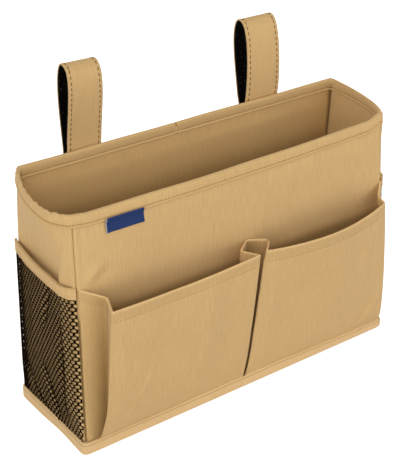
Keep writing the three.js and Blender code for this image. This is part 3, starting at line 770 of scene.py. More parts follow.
# A side panel stands out by its belly or by its corner crease, whichever is larger, and its two long edges
# turn in behind the walls.
def sidePanel(name, side, values):
    z = np.linspace(values["low"], values["high"], values["rows"])[:, None]
    along = np.linspace(0, 1, values["alongSteps"])[None]
    x = larger(sideFace(side, along, z), body["halfWidth"] + cornerRidge(along, z) + values["loft"])
    calm = smoothStep(np.minimum(along, 1 - along) / values["calmEnd"])
    calm = calm * smoothStep((values["calmTop"] - z) / values["calmReach"])
    calm = calm * smoothStep((z - values["calmFoot"]) / values["calmReach"])
    x = x + softNoise(along * values["length"], z, values["noiseLength"], 11 + side) * values["wave"] * calm
    back, front = body["backFace"] - values["seamGap"], frontFace(z) + values["seamGap"]
    y = mix(back, front, along)
    edge = body["halfWidth"] - values["turnIn"]
    first = grid(np.full_like(z, edge), np.full_like(z, back), z)
    last = grid(np.full_like(z, edge), front, z)
    middle = grid(x, y, z)
    inwards = (np.arange(3) / 3)[None, :, None]
    turns = mix(first, middle[:, :1], inwards), mix(middle[:, -1:], last, inwards + 1 / 3)
    points = np.concatenate([turns[0], middle, turns[1]], axis=1)
    points = soften(points, values["passes"])
    # painted shade in the groove of the front seam
    sunk = (body["halfWidth"] - values["seamInset"] - points[..., 0]) / values["seamReach"]
    shade = values["paintedShade"] * smoothStep(sunk) * (points[..., 1] < 0)
    share = np.linspace(0, 1, points.shape[1])[None]
    shade = shade * smoothStep((share - values["shadeFrom"]) / values["shadeOver"])
    points[..., 0] *= side
    piece = makeSheet(name, points, tan, (0, 0, 100), values["thickness"], shade=shade)
    label = "left" if side < 0 else "right"
    foldWithFront(piece, "cloth", f"side_panel_{label}")


sidePanel("sidePanelLeft", -1, sides)
sidePanel("sidePanelRight", 1, sides)
print("side panels made")


# Rim hem: one folded band over the walls, all the way round

hem = dict(
    low=200.2, outset=0.6, sideOutset=0.4, wallDepth=2.9, sideDepth=1.15, lip=0.55, lipTop=1.1, lipFade=0.45,
    stitchUp=1.75, groove=0.35, grooveWidth=0.32, swell=0.3, swellFrom=2.1, swellOver=1.2, crown=1.7,
    crownPower=0.8, acrossPower=0.85, cornerPasses=2, thickness=0.45, scallop=0.45, scallopPitch=7.0,
    wave=0.3, waveLength=60, weave=0.4, weavePitch=11, joinX=-5.0, joinWidth=0.9, joinDepth=0.7,
    joinShade=0.5, paintedShade=0.22, edgeWearAndHighlight=0.14, endsAt=147, reach=8,
    legRise=[0, 0.12, 0.4, 0.9, 1.2, 1.45, 1.75, 2.05, 2.4, 3.0, 4.2, 5.6, 7.0, 8.0],
)


# The hem's outline across the band: up the outer leg with its lip, stitched groove and swell, round the
# crown as powers of sine and cosine, and down the inner leg. With it goes the painted shade of each row:
# darker at the stitched groove, paler on the lip and over the crown as wear and a painted highlight.
def rimShape(values):
    low, top = values["low"], body["height"]
    leg = top - values["crown"] - low
    legRise = np.array(values["legRise"] + [leg])
    lipped = 1 - smoothStep((legRise - values["lipTop"]) / values["lipFade"])
    lip = values["lip"] * lipped * smoothStep(legRise / 0.4 + 0.3)
    dip = -values["groove"] * bump(legRise, values["stitchUp"], values["grooveWidth"])
    swelled = smoothStep((legRise - values["swellFrom"]) / values["swellOver"])
    swell = values["swell"] * swelled * smoothStep((leg + 1.5 - legRise) / 3)
    legOut = lip + dip + swell
    turn = np.linspace(0, math.pi, 13)[1:-1]
    crownUp = np.sin(turn) ** values["crownPower"]
    across = 1 - np.sign(np.cos(turn)) * np.abs(np.cos(turn)) ** values["acrossPower"]
    z = [low + legRise, top - values["crown"] + values["crown"] * crownUp, low + legRise[::-1]]
    insets = []
    for outset, depth in (("outset", "wallDepth"), ("sideOutset", "sideDepth")):
        outer, inner = -values[outset], values[depth]
        half = 0.5 * (inner - outer)
        insets.append(np.concatenate([outer - legOut, outer + half * across, inner + legOut[::-1]]))
    # painted shade at the stitched groove, and the lip paler as wear and a painted highlight
    legShade = values["paintedShade"] * bump(legRise, values["stitchUp"], 0.4)
    legShade = legShade - values["edgeWearAndHighlight"] * bump(legRise, 0.5, 0.6)
    shade = np.concatenate([legShade, -values["edgeWearAndHighlight"] * np.sin(turn), legShade[::-1]])
    return np.concatenate(z), *insets, shade


def addRimHem(values):  # the outline carried round the body, scalloped at the left and dented at the join
    z, wallInset, sideInset, shade = rimShape(values)
    points = bodyLoop(z, wallInset, sideInset, values["cornerPasses"])
    x, y = points[..., 0], points[..., 1]
    high = smoothStep((points[..., 2] - values["low"]) / values["reach"])
    reach = lengthAlong(points[0])[None]
    leftness = smoothStep((-x - values["endsAt"]) / values["reach"])
    scallop = np.sin(reach * 2 * math.pi / values["scallopPitch"]) * leftness
    wave = values["wave"] * softNoise(reach, 0 * reach, values["waveLength"], 21)
    points[..., 2] += high * (scallop * values["scallop"] + wave)
    weave = np.sin(reach * 2 * math.pi / values["weavePitch"] + 1)
    points[..., 0] += leftness * high * values["weave"] * weave
    join = values["joinDepth"] * bump(x, values["joinX"], values["joinWidth"]) * (y > 0)
    middle = np.where(y > 0, body["backFace"] - 1.5, 0)
    outwards = np.sign(y - middle)[..., None] * grid(0 * y, 1 + 0 * y, 0 * y)
    points -= join[..., None] * outwards
    # painted shade in the dent at the join
    joined = values["joinShade"] * bump(x, values["joinX"], 0.7 * values["joinWidth"]) * (y > 0)
    shade = np.maximum(shade[:, None], joined)
    piece = makeSheet("rimHem", points, tan, None, values["thickness"], wrapCols=True, shade=shade)
    foldWithFront(piece, "cloth", "rim_hem_back", "rim_hem_front", "rim_hem_left", "rim_hem_right")
    return points


rimPoints = addRimHem(hem)
rimStitch = dict(pitch=3.0, length=2.3, radius=0.22)


def addRimStitches(values):  # one row round the outer leg's groove, and one round the inner leg's
    stitched = hem["legRise"].index(hem["stitchUp"])
    rows = dict(rimStitchesOuter=(stitched, 1), rimStitchesInner=(len(rimPoints) - 1 - stitched, -1))
    for name, (row, sign) in rows.items():
        line = np.concatenate([rimPoints[row], rimPoints[row][:1]])
        run = np.gradient(line, axis=0)
        out = unit(np.stack([run[:, 1], -run[:, 0], 0 * run[:, 0]], axis=1))
        if (out * (line - line.mean(axis=0))).sum() * sign < 0:
            out = -out
        piece = stitchRow(name, line, out, values, tanThread)
        foldWithFront(piece, "cloth")


addRimStitches(rimStitch)
print("rim hem made")


# Base binding: one band round the foot, with a stitched line under its top edge

baseBinding = dict(
    outset=3.2, top=11.0, cornerPasses=9, columns=250, sideColumns=78, wave=0.3, waveLength=45, ripple=0.18,
    rippleLength=30, stitchAt=8.8, paintedShade=0.4, topShade=0.35, rightDrop=0.24, leftDraw=1.2, leftEnd=-140,
    kink=0.9, outline=[  # height of each row, and how far it stays behind the outset
        (0, 0.9), (0.25, 0.35), (0.9, 0), (2.5, 0), (4.5, 0), (6.5, 0), (8.0, 0), (8.5, 0.1), (8.8, 0.35),
        (9.1, 0.1), (9.6, 0), (10.2, 0.1), (10.6, 0.45), (10.85, 1.0), (11.0, 1.8)],
    inside=[(11.0, 0.9), (10.9, 0.4), (0.3, 0.4), (0, 0.7)],  # height and outset of each row
    stitches=dict(pitch=3.2, length=2.5, radius=0.22),
)


# The outline is carried round the foot, where it waves, kinks and draws out at the left front corner and
# gets lower towards the right.
def addBaseBinding(values):
    top = values["top"]
    rows = [(high, values["outset"] - less) for high, less in values["outline"]] + values["inside"]
    rise, outset = np.array(rows).T
    stitched = nearest(rise, values["stitchAt"])
    edge, back, front = body["halfWidth"], body["backFace"], body["baseFront"]
    across = np.linspace(-1, 1, values["columns"], endpoint=False)[None]
    along = np.linspace(0, 1, values["sideColumns"], endpoint=False)[None]
    out, z = outset[:, None], rise[:, None]
    parts = [
        grid(across * (edge + out), back + out, z),
        grid(edge + out, mix(back + out, front - out, along), z),
        grid(-across * (edge + out), front - out, z),
        grid(-edge - out, mix(front - out, back + out, along), z),
    ]
    points = soften(np.concatenate(parts, axis=1), values["cornerPasses"], wrap=True)
    reach = lengthAlong(points[4])[None]
    high = smoothStep(points[..., 2] / top)
    points[..., 2] += high * values["wave"] * softNoise(reach, 0 * reach, values["waveLength"], 31)
    atLeft = points[..., 0] < values["leftEnd"]
    kink = bump(points[..., 1], -8, 3) * atLeft
    points[..., 2] -= values["kink"] * kink * high
    points[..., 0] += values["leftDraw"] * bump(points[..., 1], -12, 20) * atLeft
    points[..., 2] *= 1 - values["rightDrop"] * smoothStep((points[..., 0] - 30) / 110)
    normals = planNormals(points, wrap=True)
    if (normals * (points - points.mean(axis=(0, 1)))).sum() < 0:
        normals = -normals
    ripple = values["ripple"] * softNoise(reach, 0 * reach, values["rippleLength"], 33)
    points += normals * (ripple * smoothStep(points[..., 2] / 3))[..., None]
    # painted shade along the stitched line, and a painted shadow line on the top edge
    shade = values["paintedShade"] * bump(rise, values["stitchAt"], 0.35) * (outset > 1.5)
    shade = (shade + values["topShade"] * (rise > 10.95))[:, None]
    piece = makeSheet("baseBinding", points, binding, None, wrapCols=True, wrapRows=True, shade=shade)
    foldWithFront(piece, "binding", *(f"base_binding_{name}" for name in ("back", "front", "left", "right")))
    line, outLine = (np.concatenate([one[stitched], one[stitched][:1]]) for one in (points, normals))
    foldWithFront(stitchRow("baseStitches", line, outLine, values["stitches"], tanThread), "binding")


addBaseBinding(baseBinding)
print("base binding made")


# Mesh side pockets: a knitted net with round holes in staggered rows, under a folded binding

netValues = dict(
    pitch=(2.0, 3.15), hole=1.45, backHole=0.88, facetAt=0.84, facetReach=0.1, closedHole=0.05, closedAt=0.035,
    closedReach=0.08, yarnShare=0.6, yarnLift=0.8, halfThickness=0.22, bottomBelly=0.2, topBelly=5.3,
    bellyPower=0.5, clear=(0.9, 1.9), clearRise=26, seamPull=2.6, backPull=0.4, pullReach=0.06, pullFoot=11,
    pullRise=20, low=4.5, high=146.0, width=91.0, past=1.2, seamLow=11.3, topAt=147.5, ends=(0.006, 0.996),
    foldEnds=(0.1, 0.08), foldFoot=10, foldRise=8, sides=12,
)
netFolds = [  # start and end as (along, height), width and height of each fold
    ((0.62, 141), (0.50, 98), 3.0, -3.2), ((0.36, 120), (0.26, 60), 5.0, 1.0),
    ((0.42, 58), (0.66, 13), 4.0, -2.6), ((0.16, 34), (0.5, 15), 4.0, 1.8),
    ((0.05, 46), (0.34, 15), 4.0, -1.6), ((0.78, 110), (0.76, 36), 4.0, -2.2),
]


# The distance of the net's mid-face from the middle plane, and its place in depth. The net follows the
# larger of its own belly and the corner crease, and is pulled in at both seams.
def netFace(along, z, folded):
    values = netValues
    share = np.clip((z - values["seamLow"]) / (values["topAt"] - values["seamLow"]), 0, 1)
    belly = mix(values["bottomBelly"], values["topBelly"], share ** values["bellyPower"])
    reach = body["backFace"] - frontFace(z)
    out = larger(belly * bellyShape(np.clip(along, 0, 1)), cornerRidge(along, z))
    if folded:
        back, front = values["foldEnds"]
        edge = smoothStep(along / back) * smoothStep((cornerCrease["lowAt"] - along) / front)
        edge = edge * smoothStep((z - values["foldFoot"]) / values["foldRise"])
        folds = [((a[0] * reach, a[1]), (b[0] * reach, b[1]), w, h) for a, b, w, h in netFolds]
        out = out + sum(creaseAlong(along * reach, z, one) for one in folds) * edge
    near, risen = values["pullReach"], smoothStep((z - values["pullFoot"]) / values["pullRise"])
    pull = values["seamPull"] * smoothStep((along - (1 - near)) / near) * risen
    pull = pull + values["backPull"] * smoothStep((near - along) / near) * risen
    clear = mix(*values["clear"], smoothStep((z - values["seamLow"]) / values["clearRise"]))
    x = body["halfWidth"] + clear + out - pull - np.clip(-along, 0, None) * reach
    return x, body["backFace"] - reach * np.clip(along, *values["ends"])


# The same face, and the unit run along it towards the front, for setting points off it.
def netRun(along, z, folded):
    x, y = netFace(along, z, folded)
    nextX, nextY = netFace(along + 0.01, z, folded)
    return x, y, unit(np.stack(np.broadcast_arrays(nextX - x, nextY - y), axis=-1))


def creaseAlong(u, z, values):  # a crease whose ends lie at the mean of their depths over the rows
    start, end, width, height = values
    return crease(u, z, (np.mean(start[0]), start[1]), (np.mean(end[0]), end[1]), width, height)


# The net's cut border: each open edge of the front layer is joined to the same edge of the back layer.
def borderWalls(faces, table):
    count = len(table)
    start, end = faces.ravel(), np.roll(faces, -1, axis=1).ravel()
    alone = ~np.isin(start * count + end, end * count + start) & (table[start, 2] > 0) & (table[end, 2] > 0)
    start, end = start[alone], end[alone]
    _, spot = np.unique(np.concatenate([table, table * (1, 1, -1)]), axis=0, return_inverse=True)
    spot = spot.reshape(-1)
    order = np.argsort(spot[:count])
    behind = order[np.searchsorted(spot[:count][order], spot[count:])]
    return np.stack([end, start, behind[start], behind[end]], axis=-1)


# Each hole is a cell of twelve sides in a staggered lattice: rings run from the cell's edge on the outer
# face, over the yarn's round edge at the hole, to the cell's edge on the inner face.
def addNet(side, values):
    (pitchU, pitchV), width, sides = values["pitch"], values["width"], values["sides"]
    row, col = np.meshgrid(np.arange(int((values["high"] - values["low"]) / pitchV)),
                           np.arange(-1, int(width / pitchU / 2) + 2), indexing="ij")
    centreU = (2 * col + row % 2).ravel() * pitchU
    centreV = values["low"] + row.ravel() * pitchV
    keep = (centreU > -values["past"]) & (centreU < width + values["past"])
    centreU, centreV = centreU[keep], centreV[keep]
    turn = np.arange(sides) * math.pi / 6
    cellReach = (1 / (np.abs(np.cos(turn)) / pitchU + np.abs(np.sin(turn)) / pitchV))[None]
    share = centreU / width
    facet = (share - values["facetAt"] + values["facetReach"]) / values["facetReach"]
    narrow = mix(values["backHole"], 1, smoothStep(facet))
    opened = smoothStep((share - values["closedAt"]) / values["closedReach"])
    narrow = narrow * mix(values["closedHole"], 1, opened)
    holeReach = (values["hole"] * narrow)[:, None] * np.ones(sides)[None]
    thick, between = values["halfThickness"], mix(cellReach, holeReach, values["yarnShare"])
    rings = [(cellReach, thick), (between, thick * values["yarnLift"]), (holeReach, 0.0),
             (between, -thick * values["yarnLift"]), (cellReach, -thick)]
    us = np.stack([centreU[:, None] + reach * np.cos(turn) for reach, _ in rings], axis=1)
    vs = np.stack([centreV[:, None] + reach * np.sin(turn) for reach, _ in rings], axis=1)
    lift = np.broadcast_to(np.array([level for _, level in rings])[None, :, None], us.shape)
    x, y, run = netRun(us / width, vs, True)
    points = np.stack([side * (x - run[..., 1] * lift), y + run[..., 0] * lift, vs], axis=-1)
    firsts = np.arange(len(centreU)) * len(rings) * sides
    faces = (tubeFaces(len(rings), sides)[None] + firsts[:, None, None]).reshape(-1, 4)
    keys = np.round(np.stack([us / pitchU, vs / pitchV, lift], axis=-1).reshape(-1, 3), 3)
    table, first, same = np.unique(keys, axis=0, return_index=True, return_inverse=True)
    flat = points.reshape(-1, 3)[first]
    faces = same.reshape(-1)[faces]
    faces = np.concatenate([faces, borderWalls(faces, table)])
    if not lookOut(flat[faces[:sides]], (0, 0, 80)):
        faces = faces[:, ::-1]
    piece = makeMesh(f"net{sideNames[side]}", flat, faces, None, net)
    foldWithFront(piece, "mesh", f"mesh_pocket_{sideNames[side].lower()}")


netBinding = dict(
    low=139.2, high=149.2, depthOut=0.9, crown=0.7, groove=0.25, edgeIn=0.25, stitchUp=2.3, thickness=0.6,
    columns=110, ends=(-0.012, 0.996), wave=0.35, waveLength=30, drift=0.3, driftLength=22, length=90,
    legs=[0, 0.3, 1.0, 1.8, 2.3, 2.8, 4.0, 6.0, 8.0, 9.3, 10.0],
    stitches=dict(pitch=3.0, length=2.3, radius=0.2), stitchedAway=3,
)


# A band folded over the net's top: a leg, half a turn and a leg, set off the net's face and waving a little.
def addNetBinding(side, values):
    legs, low = np.array(values["legs"]), values["low"]
    out = values["depthOut"] - values["groove"] * bump(legs, values["stitchUp"], 0.45)
    out = out - values["edgeIn"] * bump(legs, 0, 0.35)
    turn = np.linspace(0, math.pi, 9)[1:-1]
    z = [low + legs, values["high"] - values["crown"] * (1 - np.sin(turn)), low + legs[::-1]]
    lift = [out, values["depthOut"] * np.cos(turn), -out[::-1]]
    z, lift = np.concatenate(z)[:, None], np.concatenate(lift)[:, None]
    along = np.linspace(*values["ends"], values["columns"])[None]
    x, y, run = netRun(along, z, False)
    wave, drift = (
        values[key] * softNoise(along * values["length"], 0 * along, values[key + "Length"], seed)
        for key, seed in (("wave", 41 + side), ("drift", 43)))
    x = x - run[..., 1] * lift + wave
    y = y + run[..., 0] * lift
    points = grid(side * x, y, z + drift * smoothStep((z - 140) / 6))
    name = sideNames[side]
    piece = makeSheet(f"netBinding{name}", points, tan, None, values["thickness"])
    foldWithFront(piece, "cloth", f"mesh_binding_{name.lower()}")
    row, away = values["legs"].index(values["stitchUp"]), values["stitchedAway"]
    inner = slice(away, -away)
    line = points[row, inner]
    outwards = np.stack([-side * run[row, inner, 1], run[row, inner, 0], 0 * line[:, 0]], axis=1)
    foldWithFront(stitchRow(f"netStitches{name}", line, outwards, values["stitches"], tanThread), "cloth")


sideNames = {-1: "Left", 1: "Right"}
for side in (-1, 1):
    addNet(side, netValues)
    addNetBinding(side, netBinding)
print("mesh pockets made")


# Front pockets: each is one cloth, sewn to the wall at both ends and pleated between wall and corner

pocketShared = dict(
    seamLow=11.3, frontTop=141.0, seamStandOff=3.0, bowPower=0.8, cornerTurn=0.25, flareFrom=0.92, below=0.055,
    rows=100, thickness=0.8, hemThickness=1.7, hemHeight=9.0, wave=0.3, noiseLength=70, calmReach=14,
    calmFoot=12, calmPast=4, edgeWearAndHighlight=0.12, wearAndHighlightOver=1.5, hemStep=1.2, hemShade=0.06, hemShadeOver=0.8,
    endShare=0.7, groove=0.28, grooveWidth=0.8, pucker=0.4, fade=0.6, fadePower=3,
    stitches=dict(pitch=3.2, length=2.4, radius=0.2), stitchedAway=3,
)
# Each key on the way from wall to wall: across at top and seam, distance from the wall at top and seam,
# and the height of its top edge. The front lies between the keys before it and those after it.
pockets = dict(
    left=dict(
        before=[(-147.8, -147.8, 0.45, 0.45, 147.0), (-130.8, -128.0, 11.3, 1.2, 140.0)],
        after=[(-6.4, -14.0, 12.7, 1.2, 138.6), (7.0, 4.2, 2.0, 0.45, 138.0), (21.2, 9.5, 10.1, 0.45, 137.8)],
        cornersTop=(-137.0, 2.0), cornersSeam=(-139.6, 1.6), quickTurn=(1, 0), flare=(0, 0),
        swell=(0.56, 0.76), standOff=(28.6, 27.4), bow=1.0, mouthDrop=(2.6, 1.6), mouthSag=1.4,
        counts=(22, 20, 140, 18, 18, 16), passes=2, flat=(0.235, 0.138),
        valleyShade={1: (0.55, 12), 4: (0.75, 7), 5: (0.6, 7)},
        creases=[
            ((-117.5, 22), (-94, 70), 2.6, 1.1), ((-133, 50), (-134, 130), 4, -0.5),
            ((-122, 30), (-126, 122), 6, 0.9), ((-90, 60), (-84, 134), 15, -1.8),
            ((-50, 18), (-43, 132), 7, 1.3), ((-62, 40), (-58, 120), 6, 0.5),
            ((-21, 40), (-26, 125), 8, -1.5), ((-6, 40), (-3, 130), 5, 0.7),
            ((-104, 26), (-112, 50), 6, -0.6), ((-46, 132), (-40, 120), 4, 0.5),
            ((-20, 30), (-10, 60), 6, 0.4),
        ],
    ),
    right=dict(
        before=[(21.0, 9.3, 10.4, 0.5, 137.6)],
        after=[(139.6, 145.0, 9.5, 1.2, 139.6), (149.6, 148.4, 0.2, 0.3, 147.0)],
        cornersTop=(5.8, 138.0), cornersSeam=(2.6, 149.0), quickTurn=(0, 0), flare=(1.6, 0),
        swell=(0.76, 0.58), standOff=(25.2, 19.6), bow=11.0, mouthDrop=(1.4, 2.4), mouthSag=1.2,
        counts=(20, 140, 14, 20), passes=2, flat=(0.2, 0.138), valleyShade={0: (0.6, 6), 3: (0.7, 6)},
        creases=[
            ((16.5, 30), (18.5, 130), 2.6, 1.2), ((28, 40), (30, 120), 6, -0.6),
            ((52, 36), (46, 128), 17, -1.9), ((92, 24), (88, 112), 13, 1.2),
            ((121, 20), (132.5, 46), 3.0, -1.3), ((128, 18), (137, 42), 3.0, 0.8),
            ((115, 60), (117, 136), 6, 0.9), ((104, 90), (103, 134), 5, -0.7),
            ((126, 70), (128, 130), 5, -0.5),
        ],
    ),
)


# The panel between the two outer corners. Its mouth sags as half a sine, it bows out as a power of half a
# sine, stands further off the wall the higher it gets, and is creased and drawn in along the hem's seam.
def pocketFront(values, rise):
    shared = pocketShared
    across = np.linspace(0, 1, values["frontCount"] + 1)[None]
    drop = mix(*values["mouthDrop"], across) + values["mouthSag"] * np.sin(math.pi * across)
    z = mix(shared["seamLow"], shared["frontTop"] - drop, rise[:, None])
    column = np.clip(rise, 0, 1)[:, None]
    turned = [mix(column, smoothStep(column / shared["cornerTurn"]), quick) for quick in values["quickTurn"]]
    flare = smoothStep((column - shared["flareFrom"]) / (1 - shared["flareFrom"]))
    corners = zip(values["cornersSeam"], values["cornersTop"], turned, values["flare"])
    ends = [mix(seam, top, turn) + more * flare for seam, top, turn, more in corners]
    x = mix(*ends, across)
    bow = values["bow"] * np.sin(math.pi * across) ** shared["bowPower"]
    topStandOff = mix(*values["standOff"], across) + bow
    standOff = mix(shared["seamStandOff"], topStandOff, column ** mix(*values["swell"], across))
    z = z + 0 * x
    reach = shared["calmReach"]
    calm = smoothStep((z - shared["calmFoot"]) / reach)
    calm = calm * smoothStep((shared["frontTop"] + shared["calmPast"] - z) / reach)
    waves = softNoise(x, z, shared["noiseLength"], 51) * shared["wave"]
    out = (waves + creases(x, z, values["creases"])) * calm
    stitched = bump(z, shared["frontTop"] - shared["hemHeight"], shared["grooveWidth"])
    pucker = 1 - shared["pucker"] + shared["pucker"] * np.sin(x * 2 * math.pi / shared["stitches"]["pitch"])
    out = out - shared["groove"] * stitched * pucker
    return grid(x, frontFace(z) - standOff - out, z)


def pocketKey(values, rise):  # one fold line, straight from the seam to the top
    topX, seamX, topOff, seamOff, topZ = values
    z = mix(pocketShared["seamLow"], topZ, rise)
    return grid(mix(seamX, topX, rise), frontFace(z) - mix(seamOff, topOff, rise), z)


def pocketRoute(values, rise):  # the level route of one pocket cloth, from wall to wall, for each rise
    before, counts = len(values["before"]), values["counts"]
    front = pocketFront(dict(values, frontCount=counts[before]), rise)
    keys = [pocketKey(one, rise) for one in values["before"]] + [front[:, 0]]
    tail = [front[:, -1]] + [pocketKey(one, rise) for one in values["after"]]
    parts = [route(keys, counts[:before])[:, :-1], front, route(tail, counts[before + 1:])[:, 1:]]
    valley = [sum(counts[:k]) for k in range(len(counts) + 1)]
    return soften(np.concatenate(parts, axis=1), values["passes"]), valley


# The route gets thickness inwards, more of it in the hem, and half a turn over the hem's top. Painted shade
# goes into the pleats' valleys, less of it towards the top, and a little into the hem below its top edge;
# the top edge and the turn over it are paler, as wear and a painted highlight.
def addPocket(name, values):
    shared = pocketShared
    rise = np.linspace(-shared["below"], 1, shared["rows"])
    outer, keyAt = pocketRoute(values, rise)
    out = planNormals(outer)
    top = shared["frontTop"] - shared["seamLow"]
    hemRise = 1 - shared["hemHeight"] / top
    inHem = smoothStep((rise - hemRise) * top / shared["hemStep"] + 0.5)
    thick = mix(shared["thickness"], shared["hemThickness"], inHem)[:, None, None]
    ends = np.ones(outer.shape[1])
    ends[[0, -1]] = 0
    ends[[1, -2]] = shared["endShare"]
    inner = outer - out * thick * ends[None, :, None]
    turn = np.linspace(0, math.pi, 7)[1:-1, None, None]
    crown = 0.5 * shared["hemThickness"] * ends[None, :, None]
    cap = outer[-1:] - out[-1:] * crown * (1 - np.cos(turn)) + np.array([0, 0, 1]) * crown * np.sin(turn)
    points = np.concatenate([outer, cap, inner[::-1]])
    column = np.arange(outer.shape[1])[None]
    shade = sum(deep * bump(column, keyAt[k], width) for k, (deep, width) in values["valleyShade"].items())
    shade = shade * (1 - shared["fade"] * np.clip(rise[:, None], 0, 1) ** shared["fadePower"])
    # the hem: a little painted shade, turning to wear and a painted highlight at the top edge
    wornAndLit = smoothStep((rise - 1) * top / shared["wearAndHighlightOver"] + 1)
    wornAndLit = mix(shared["hemShade"], -shared["edgeWearAndHighlight"], wornAndLit)
    hemShade = smoothStep((rise - hemRise) * top / shared["hemShadeOver"]) * wornAndLit
    shade = shade + hemShade[:, None] + 0 * column
    # the turn over the top: wear and a painted highlight
    rest = np.concatenate([np.full(len(cap), -shared["edgeWearAndHighlight"]), np.zeros(len(inner))])[:, None]
    shade = np.concatenate([shade, rest + 0 * column])
    piece = makeSheet(f"pocketCloth{name.capitalize()}", points, tan, None, wrapRows=True, shade=shade)
    weld(piece)
    nodes = [f"pocket_{part}_{name}" for part in ("front", "hem")]
    nodes += [f"pocket_pleat_{name}_{side}" for side in ("outer", "inner")]
    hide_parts(*nodes, *(["pocket_centre_strip"] if name == "left" else []))
    bendOpen(piece)
    first, away = keyAt[len(values["before"])], shared["stitchedAway"]
    last = first + values["counts"][len(values["before"])]
    line = outer[nearest(rise, hemRise), first + away:last - away]
    label = f"pocketStitches{name.capitalize()}"
    stitches = stitchRow(label, line, (0, -1, 0), shared["stitches"], tanThread)
    bendOpen(stitches)


def bendOpen(piece):  # bakes the piece's transform into its mesh
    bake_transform(piece)


for name in ("left", "right"):
    addPocket(name, pockets[name])
print("front pockets made")


# Woven tab: a short navy strip folded at its left end and sewn under the hem, with nothing on it

tab = dict(
    left=-121.0, length=33.3, low=190.0, high=202.1, hemLap=1.3, lapFrom=198.7, lapOver=1.2, thickness=0.5,
    lift=0.45, curl=0.5, lowCurl=0.35, curlReach=3, ripple=0.1, rippleLength=5, foldRadius=0.45,
    foldThickness=0.2, foldIn=0.1,
)


# The strip follows the wall's relief, curls off it at its left and lower edges and laps over the hem. The
# fold at its left end is half a circle from front to back.
def addTab(values):
    x = np.linspace(0, values["length"], 60)[None]
    z = np.linspace(values["low"], values["high"], 24)[:, None]
    overHem = values["hemLap"] * smoothStep((z - values["lapFrom"]) / values["lapOver"])
    lowCurl = values["lowCurl"] * bump(z, values["low"], values["curlReach"])
    ripple = values["ripple"] * np.sin(x / values["rippleLength"])
    curl = values["curl"] * bump(x, 0, values["curlReach"]) + lowCurl + ripple + overHem
    y = frontFace(z) - values["lift"] - curl - wallRelief(values["left"] + x, z, walls, walls["frontCreases"])
    piece = makeSheet("sewnTab", grid(values["left"] + x, y, z), tabCloth, (0, 500, 190), values["thickness"])
    place(piece, "front_wall", "tab", "sewn_tab")
    turn = np.linspace(-math.pi / 2, math.pi / 2, 9)[None]
    radius = values["foldRadius"]
    foldX = values["left"] + values["foldIn"] - radius * np.cos(turn)
    relief = wallRelief(values["left"] + 0 * z, z, walls, walls["frontCreases"])
    foldY = frontFace(z) - values["lift"] - values["curl"] - overHem + radius * np.sin(turn) - relief
    inside = (values["left"] + 5, -36, 190)
    edge = makeSheet("sewnTabEdge", grid(foldX, foldY, z), tabEdge, inside, values["foldThickness"])
    place(edge, "front_wall", "tab")


addTab(tab)
print("tab made")


# Strap loops: cloth outside, black tape inside, front run, crown and rear run

strapShared = dict(
    width=31.2, thickness=0.9, tapeThickness=1.3, tapeInset=0.15, tapeGap=0.05, tapeFrom=4, root=25.0,
    rootGap=0.6, rootTop=-14.0, hemFoot=-12.0, shoulder=3.0, throatDrop=5.0, patchTop=28.0, patchHeight=32.0,
    patchWidth=29.0, patchThickness=1.0, patchSheet=0.9, patchWave=0.12, patchNoise=12, layerGap=0.3,
    frontHandle=0.42, rearHandle=0.5, rearBulge=0.8, hemFace=1.35, crownReach=8, columns=25, edgeStitch=3.1,
    steps=120, rootCounts=(12, 3, 14), tailCounts=(22, 30), passes=3,
    stitches=dict(pitch=4.6, length=3.2, radius=0.38),
)
straps = dict(
    left=dict(
        x=-86.4, sway=-1.9, rise=(73.2, 69.6), lean=(8.5, 11.5), frontReach=18.5, rearReach=10.3, throat=8.5),
    right=dict(
        x=85.5, sway=-4.8, rise=(64.0, 63.0), lean=(16.5, 15.6), frontReach=15.0, rearReach=11.0, throat=12.0),
)


def bezier(controls, steps):  # cubic curve; controls hold (y, z) arrays, one value for each column
    share = np.linspace(0, 1, steps)[:, None, None]
    weights = [(1 - share) ** 3, 3 * (1 - share) ** 2 * share, 3 * (1 - share) * share ** 2, share ** 3]
    return sum(weight * control[None] for weight, control in zip(weights, controls))


def straightRuns(keys, counts):  # straight from key to key, each run without its last row
    return [mix(start[None], end[None], (np.arange(count) / count)[:, None, None])
            for start, end, count in zip(keys, keys[1:], counts)]


